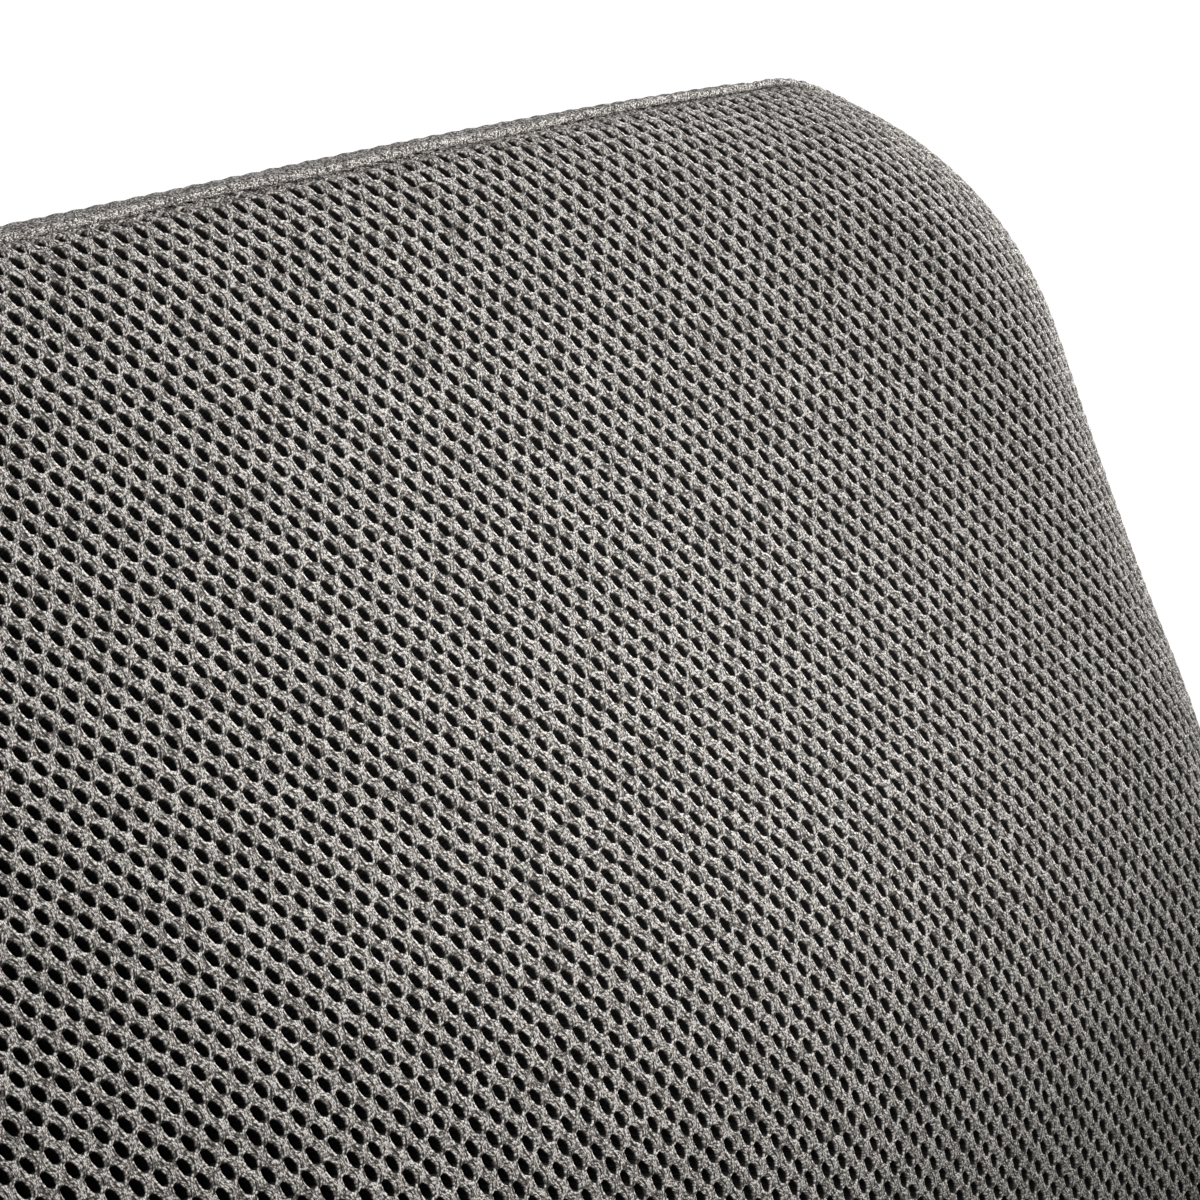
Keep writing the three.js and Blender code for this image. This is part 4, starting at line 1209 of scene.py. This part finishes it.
@dataclass
class Strap:
    """One side of the strap: sewn to the back panel, bowed out, and looped round a buckle's bar."""

    palette: Palette
    form: CushionForm
    name: str
    slot: str
    side: int
    bar_x: float
    tail_x: float
    width: float = 30 * MM
    thickness: float = 1.6 * MM
    standoff: float = 19.6 * MM
    end_x: float = 161 * MM
    sewn: float = 26 * MM
    rise_end: float = 97 * MM
    loop_radius: float = 2.0 * MM
    skin_gap: float = 0.3 * MM
    line_step: float = 1.0 * MM
    edge_steps: int = 4
    face_steps: int = 8
    flat_points: int = 60
    tail_points: int = 50
    loop_points: int = 17
    patch_edge: float = 0.45 * MM
    stitch_inset: float = 3.0 * MM
    stitch_rise: float = 0.08 * MM
    stitching: Stitching = Stitching()

    def build(self) -> None:
        """Builds the band, its patch and the stitches through both."""
        low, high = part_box(f"strap_{self.name}")
        middle = (low.z + high.z) / 2
        line = self._line()
        section = self._section()
        mesh = grid_mesh(f"strap_{self.name}_band", len(line) - 1, len(section) - 1)
        grid = mesh_points(mesh)
        at = np.rint((grid[:, 0] + 0.5) * (len(line) - 1)).astype(int)
        corner = np.rint((grid[:, 1] + 0.5) * (len(section) - 1)).astype(int)
        along = np.gradient(line, axis=0)
        along /= np.linalg.norm(along, axis=1, keepdims=True)
        thick = section[corner, 0]
        x = line[at, 0] - along[at, 1] * thick
        inward = line[at, 1] + along[at, 0] * thick
        set_points(mesh, self.form.place(x, inward, middle + section[corner, 1]))
        shape = welded(mesh)
        bmesh.ops.holes_fill(shape, edges=[edge for edge in shape.edges if edge.is_boundary], sides=0)
        bmesh.ops.recalc_face_normals(shape, faces=shape.faces[:])
        crisp(finish_piece(shape, mesh.name + "_woven", self.palette[self.slot], "cushion",
                           (f"strap_{self.name}",)), BAND_EDGES)
        self._patch()

    def _line(self) -> Array:
        """The band's middle as rows of x and distance in front of the back panel."""
        sewn_q = -self.skin_gap - self.thickness / 2
        start = self.end_x - self.sewn
        rise = np.linspace(0, 1, round((start - self.rise_end) / self.line_step))
        lead = np.linspace(self.end_x, start, round(self.sewn / self.line_step))[:-1]
        parts = [np.stack([self.side * lead, np.full_like(lead, sewn_q)], 1)]
        depth = mix(sewn_q, -self.standoff, smooth(rise, 0, 1))
        parts.append(np.stack([self.side * mix(start, self.rise_end, rise), depth], 1))
        flat = np.linspace(self.side * self.rise_end, self.bar_x, self.flat_points)[1:-1]
        parts.append(np.stack([flat, np.full_like(flat, -self.standoff)], 1))
        turn = np.linspace(-math.pi / 2, math.pi / 2, self.loop_points)
        axis = -self.standoff + self.loop_radius
        parts.append(np.stack([self.bar_x - self.side * self.loop_radius * np.cos(turn),
                               axis + self.loop_radius * np.sin(turn)], 1))
        back = np.linspace(self.bar_x, self.side * self.tail_x, self.tail_points)[1:]
        parts.append(np.stack([back, np.full_like(back, axis + self.loop_radius)], 1))
        return np.concatenate(parts)

    def _section(self) -> Array:
        """Closed section of the band as rows of thickness and height, with rounded selvedges."""
        half, radius = self.width / 2, self.thickness / 2
        edge = np.linspace(0, math.pi, self.edge_steps + 1)
        faces = np.linspace(-1, 1, self.face_steps + 1)[1:-1] * (half - radius)
        top = np.stack([radius * np.cos(edge), half - radius + radius * np.sin(edge)], 1)
        down = np.stack([np.full_like(faces, -radius), -faces], 1)
        bottom = np.stack([-radius * np.cos(edge), -half + radius - radius * np.sin(edge)], 1)
        up = np.stack([np.full_like(faces, radius), faces], 1)
        return np.concatenate([top, down, bottom, up, top[:1]])

    def _patch(self) -> None:
        """Covers the sewn end with a patch, and sews a box and a cross through it."""
        node = f"strap_patch_{self.name}"
        low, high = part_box(node)
        finish_piece(refined(node, self.patch_edge), f"{node}_cloth", self.palette["webbing"],
                     "cushion", (node,))
        inset, face = self.stitch_inset, high.y + self.stitch_rise
        shape = bmesh.new()
        self.stitching.box_cross(shape, Vector((low.x + inset, face, low.z + inset)),
                                 Vector((high.x - inset, face, high.z - inset)))
        name = f"strap_stitches_{self.name}"
        crisp(finish_piece(shape, name, self.palette["thread"], "cushion"), THREAD_EDGES)


@dataclass
class Buckle:
    """Side release buckle and the adjuster on the webbing."""

    palette: Palette
    female_edge: float = 0.7 * MM
    male_edge: float = 0.56 * MM
    prong_edge: float = 0.4 * MM
    adjuster_edge: float = 0.55 * MM
    female_ribs: GripRibs = GripRibs(13.0 * MM, 0.46)
    male_ribs: GripRibs = GripRibs(-17.5 * MM, 0.62)

    def build(self) -> None:
        """Builds both halves, the prongs and the adjuster."""
        halves = {"buckle_female": (self.female_edge, self.female_ribs),
                  "buckle_male": (self.male_edge, self.male_ribs)}
        for node, (edge, ribs) in halves.items():
            half = refined(node, edge)
            ribs.add(half, node)
            self._keep(half, f"{node}_half", node, "cushion")
        for word in ("upper", "lower"):
            prong = refined(f"buckle_prong_{word}", self.prong_edge)
            self._keep(prong, f"buckle_prong_{word}_arm", f"buckle_prong_{word}", f"prong_{word}")
        loop = refined("strap_adjuster", self.adjuster_edge)
        self._keep(loop, "strap_adjuster_loop", "strap_adjuster", "adjuster")

    def _keep(self, shape: bmesh.types.BMesh, name: str, node: str, body: str) -> None:
        """Finishes one moulded piece in place of its solid."""
        crisp(finish_piece(shape, name, self.palette["buckle"], body, (node,)))


@dataclass
class CareLabel:
    """A blank sewn-on label."""

    palette: Palette
    edge: float = 0.08 * MM
    side_inset: float = 1 * MM
    end_inset: float = 1.6 * MM
    stitching: Stitching = Stitching(1.8 * MM, 0.7 * MM, 0.16 * MM)

    def build(self) -> None:
        """Builds the label and the stitches along its two short ends."""
        low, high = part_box("care_label")
        finish_piece(refined("care_label", self.edge, 1), "care_label_satin", self.palette["label"],
                     "cushion", ("care_label",))
        shape = bmesh.new()
        left, right = low.x + self.side_inset, high.x - self.side_inset
        for z in (low.z + self.end_inset, high.z - self.end_inset):
            self.stitching.run(shape, Vector((left, high.y, z)), Vector((right, high.y, z)))
        crisp(finish_piece(shape, "care_label_stitches", self.palette["thread"], "cushion"),
              THREAD_EDGES)


@dataclass
class Core:
    """The moulded foam, swelled a little by cloth simulation, and the liner stretched over it."""

    palette: Palette
    voxel: float = 6 * MM
    start_inset: float = 0.5 * MM
    pressure: float = 4.0
    frames: int = 20
    cap: float = 0.8 * MM
    liner_offset: float = 1.0 * MM
    liner_wall: float = 0.5 * MM
    mouth: tuple[float, float, float, float] = (100 * MM, 23 * MM, 31 * MM, 12 * MM)

    def build(self, form: CushionForm) -> None:
        """Builds the foam and its liner."""
        shape = welded(frame["nodes"]["foam_core"].data)
        foam = finish_piece(shape, "foam_pad", self.palette["foam"], "cushion", ("foam_core",))
        self._remesh(foam)
        rest = mesh_points(foam.data)
        self._swell(foam)
        moved = mesh_points(foam.data) - rest
        length = np.linalg.norm(moved, axis=1, keepdims=True)
        moved *= np.minimum(1.0, self.cap / np.maximum(length, 1e-9))
        set_points(foam.data, rest + moved)
        foam.data.shade_smooth()
        even = foam.modifiers.new("even", "SUBSURF")
        even.levels = even.render_levels = 1
        self._liner(foam, form)

    def _remesh(self, piece: bpy.types.Object) -> None:
        """Makes the foam's mesh even, and a little smaller."""
        even = piece.modifiers.new("even", "REMESH")
        even.mode = "VOXEL"
        even.voxel_size = self.voxel
        self._apply(piece)
        points = mesh_points(piece.data)
        normals = np.empty(len(points) * 3, np.float32)
        piece.data.vertex_normals.foreach_get("vector", normals)
        set_points(piece.data, points - normals.reshape(-1, 3) * self.start_inset)

    def _swell(self, piece: bpy.types.Object) -> None:
        """Lets pressure fill the foam out."""
        cloth = piece.modifiers.new("swell", "CLOTH")
        cloth.settings.use_pressure = True
        cloth.settings.uniform_pressure_force = self.pressure
        cloth.settings.effector_weights.gravity = 0.0
        scene = bpy.context.scene
        for step in range(1, self.frames + 1):
            scene.frame_set(step)
        self._apply(piece)
        scene.frame_set(1)

    @staticmethod
    def _apply(piece: bpy.types.Object) -> None:
        """Applies every modifier on a piece."""
        seen = piece.evaluated_get(bpy.context.evaluated_depsgraph_get())
        mesh = bpy.data.meshes.new_from_object(seen)
        piece.modifiers.clear()
        piece.data = mesh

    def _liner(self, foam: bpy.types.Object, form: CushionForm) -> None:
        """Stretches the liner over the foam, open underneath where the foam goes in."""
        shape = bmesh.new()
        shape.from_mesh(foam.data)
        for vert in shape.verts:
            vert.co += vert.normal * self.liner_offset
        half, near, far, top = self.mouth
        gone = []
        for face in shape.faces:
            centre = face.calc_center_median()
            inward = form.back_plane - centre.y
            if abs(centre.x) < half and near < inward < far and centre.z < top:
                gone.append(face)
        bmesh.ops.delete(shape, geom=gone, context="FACES")
        liner = finish_piece(shape, "liner_sock", self.palette["liner"], "cushion",
                             ("inner_liner",))
        wall = liner.modifiers.new("wall", "SOLIDIFY")
        wall.thickness = self.liner_wall
        wall.offset = -1.0


# ---------------------------------------------------------------- studio

@dataclass(frozen=True)
class Lamp:
    """A soft light; the cone is the full angle of its beam, and 0 gives an open panel."""

    name: str
    location: Point
    target: Point
    size: float
    power: float
    cone: float = 0.0

    def add(self) -> None:
        """Places the light and aims it."""
        data = bpy.data.lights.new(self.name, "SPOT" if self.cone else "AREA")
        if self.cone:
            data.spot_size = self.cone
            data.spot_blend = 1.0
            data.shadow_soft_size = self.size / 2
        else:
            data.size = self.size
        data.energy = self.power
        light = bpy.data.objects.new(self.name, data)
        light.location = self.location
        aim = Vector(self.target) - Vector(self.location)
        light.rotation_euler = aim.to_track_quat("-Z", "Y").to_euler()
        bpy.context.scene.collection.objects.link(light)


@dataclass(frozen=True)
class Studio:
    """Floor, lights, world and camera."""

    lens: float = 115.8
    sensor: float = 36.0
    clip: tuple[float, float] = (0.01, 50.0)
    location: Point = (-0.2764, -0.4384, 0.2409)
    right: Point = (0.73642, -0.62158, -0.26708)
    up: Point = (0.23689, -0.13287, 0.96241)
    lamps: tuple[Lamp, ...] = (
        Lamp("key", (0.10, -0.36, 0.28), (0.0, -0.05, 0.23), 0.2, 5.7, math.radians(76)),
        Lamp("side", (0.62, -0.02, 0.36), (0.1, 0.0, 0.265), 0.2, 18.0, math.radians(42)),
        Lamp("rear_key", (-0.25, 1.25, 0.85), (0, 0, 0.14), 0.8, 13.0),
        Lamp("rear_fill", (-1.0, 0.7, 0.5), (0, 0, 0.14), 0.8, 4.0),
    )
    floor_radius: float = 6.0
    floor_level: float = 0.9
    floor_fade: tuple[float, float] = (0.0, 0.85)
    floor_glow: float = 0.25
    floor_bounce: float = 0.2
    ambient: float = 0.06
    backdrop: float = 1.05

    def build(self) -> None:
        """Builds the studio."""
        self._camera()
        self._floor()
        self._world()
        for lamp in self.lamps:
            lamp.add()
        scene = bpy.context.scene
        scene.view_settings.view_transform = "Standard"
        scene.view_settings.look = "None"
        scene.view_settings.exposure = 0.0

    def _camera(self) -> None:
        """Places the camera."""
        data = bpy.data.cameras.new("camera")
        data.lens = self.lens
        data.sensor_width = self.sensor
        data.clip_start, data.clip_end = self.clip
        camera = bpy.data.objects.new("camera", data)
        right = Vector(self.right).normalized()
        back = right.cross(Vector(self.up)).normalized()
        up = back.cross(right)
        turn = Matrix((right, up, back)).transposed().to_4x4()
        camera.matrix_world = Matrix.Translation(self.location) @ turn
        bpy.context.scene.collection.objects.link(camera)
        bpy.context.scene.camera = camera

    def _floor(self) -> None:
        """Lays a plain pale floor."""
        shape = bmesh.new()
        bmesh.ops.create_circle(shape, cap_ends=True, segments=96, radius=self.floor_radius)
        mesh = as_mesh(shape, "floor")
        material = bpy.data.materials.new("pale_floor")
        material.use_nodes = True
        shader = material.node_tree.nodes["Principled BSDF"]
        shader.inputs["Roughness"].default_value = 0.9
        build = Tree(material.node_tree)
        place = build.add("ShaderNodeTexCoord").outputs["Object"]
        reach = build.add("ShaderNodeVectorMath", operation="LENGTH")
        build.feed(reach.inputs[0], place)
        away = build.scaled(reach.outputs["Value"], *self.floor_fade, self.floor_glow, 1.0)
        seen = build.add("ShaderNodeLightPath").outputs["Is Camera Ray"]
        near = build.blend(seen, grey(self.floor_bounce), grey(self.floor_level))
        build.feed(shader.inputs["Base Color"], build.blend(away, near, grey(0.0)))
        shader.inputs["Emission Color"].default_value = (1, 1, 1, 1)
        glow = build.math("MULTIPLY", build.math("MULTIPLY", away, self.backdrop), seen)
        build.feed(shader.inputs["Emission Strength"], glow)
        mesh.materials.append(material)
        floor = bpy.data.objects.new("floor", mesh)
        bpy.context.scene.collection.objects.link(floor)

    def _world(self) -> None:
        """Lights the studio evenly, in front of a white backdrop."""
        world = bpy.data.worlds.new("studio")
        world.use_nodes = True
        build = Tree(world.node_tree)
        background = world.node_tree.nodes["Background"]
        background.inputs["Color"].default_value = (1, 1, 1, 1)
        seen = build.add("ShaderNodeLightPath").outputs["Is Camera Ray"]
        build.feed(background.inputs["Strength"], build.scaled(seen, 0.0, 1.0, self.ambient, self.backdrop))
        bpy.context.scene.world = world


def dress_cad(palette: Palette) -> None:
    """Gives each solid that stays in view its slot's material."""
    for part in frame["record"]["subparts"]:
        node = frame["nodes"][part["node"]]
        node.data.materials.clear()
        node.data.materials.append(palette[part["material_slot"]])


def main() -> None:
    """Builds the studio and every piece."""
    logging.basicConfig(level=logging.INFO, format="%(message)s")
    Studio().build()
    palette = Palette()
    dress_cad(palette)
    form = CushionForm(back_plane=float(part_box("cover_back_upper")[1][1]))
    Core(palette).build(form)
    Cover(form, palette).build()
    Zip(palette, form).build()
    Strap(palette, form, "left", "webbing", -1, -37 * MM, 98 * MM).build()
    Strap(palette, form, "right", "elastic", 1, 27 * MM, 62 * MM).build()
    Buckle(palette).build()
    CareLabel(palette).build()


if __name__ == "__main__":
    main()
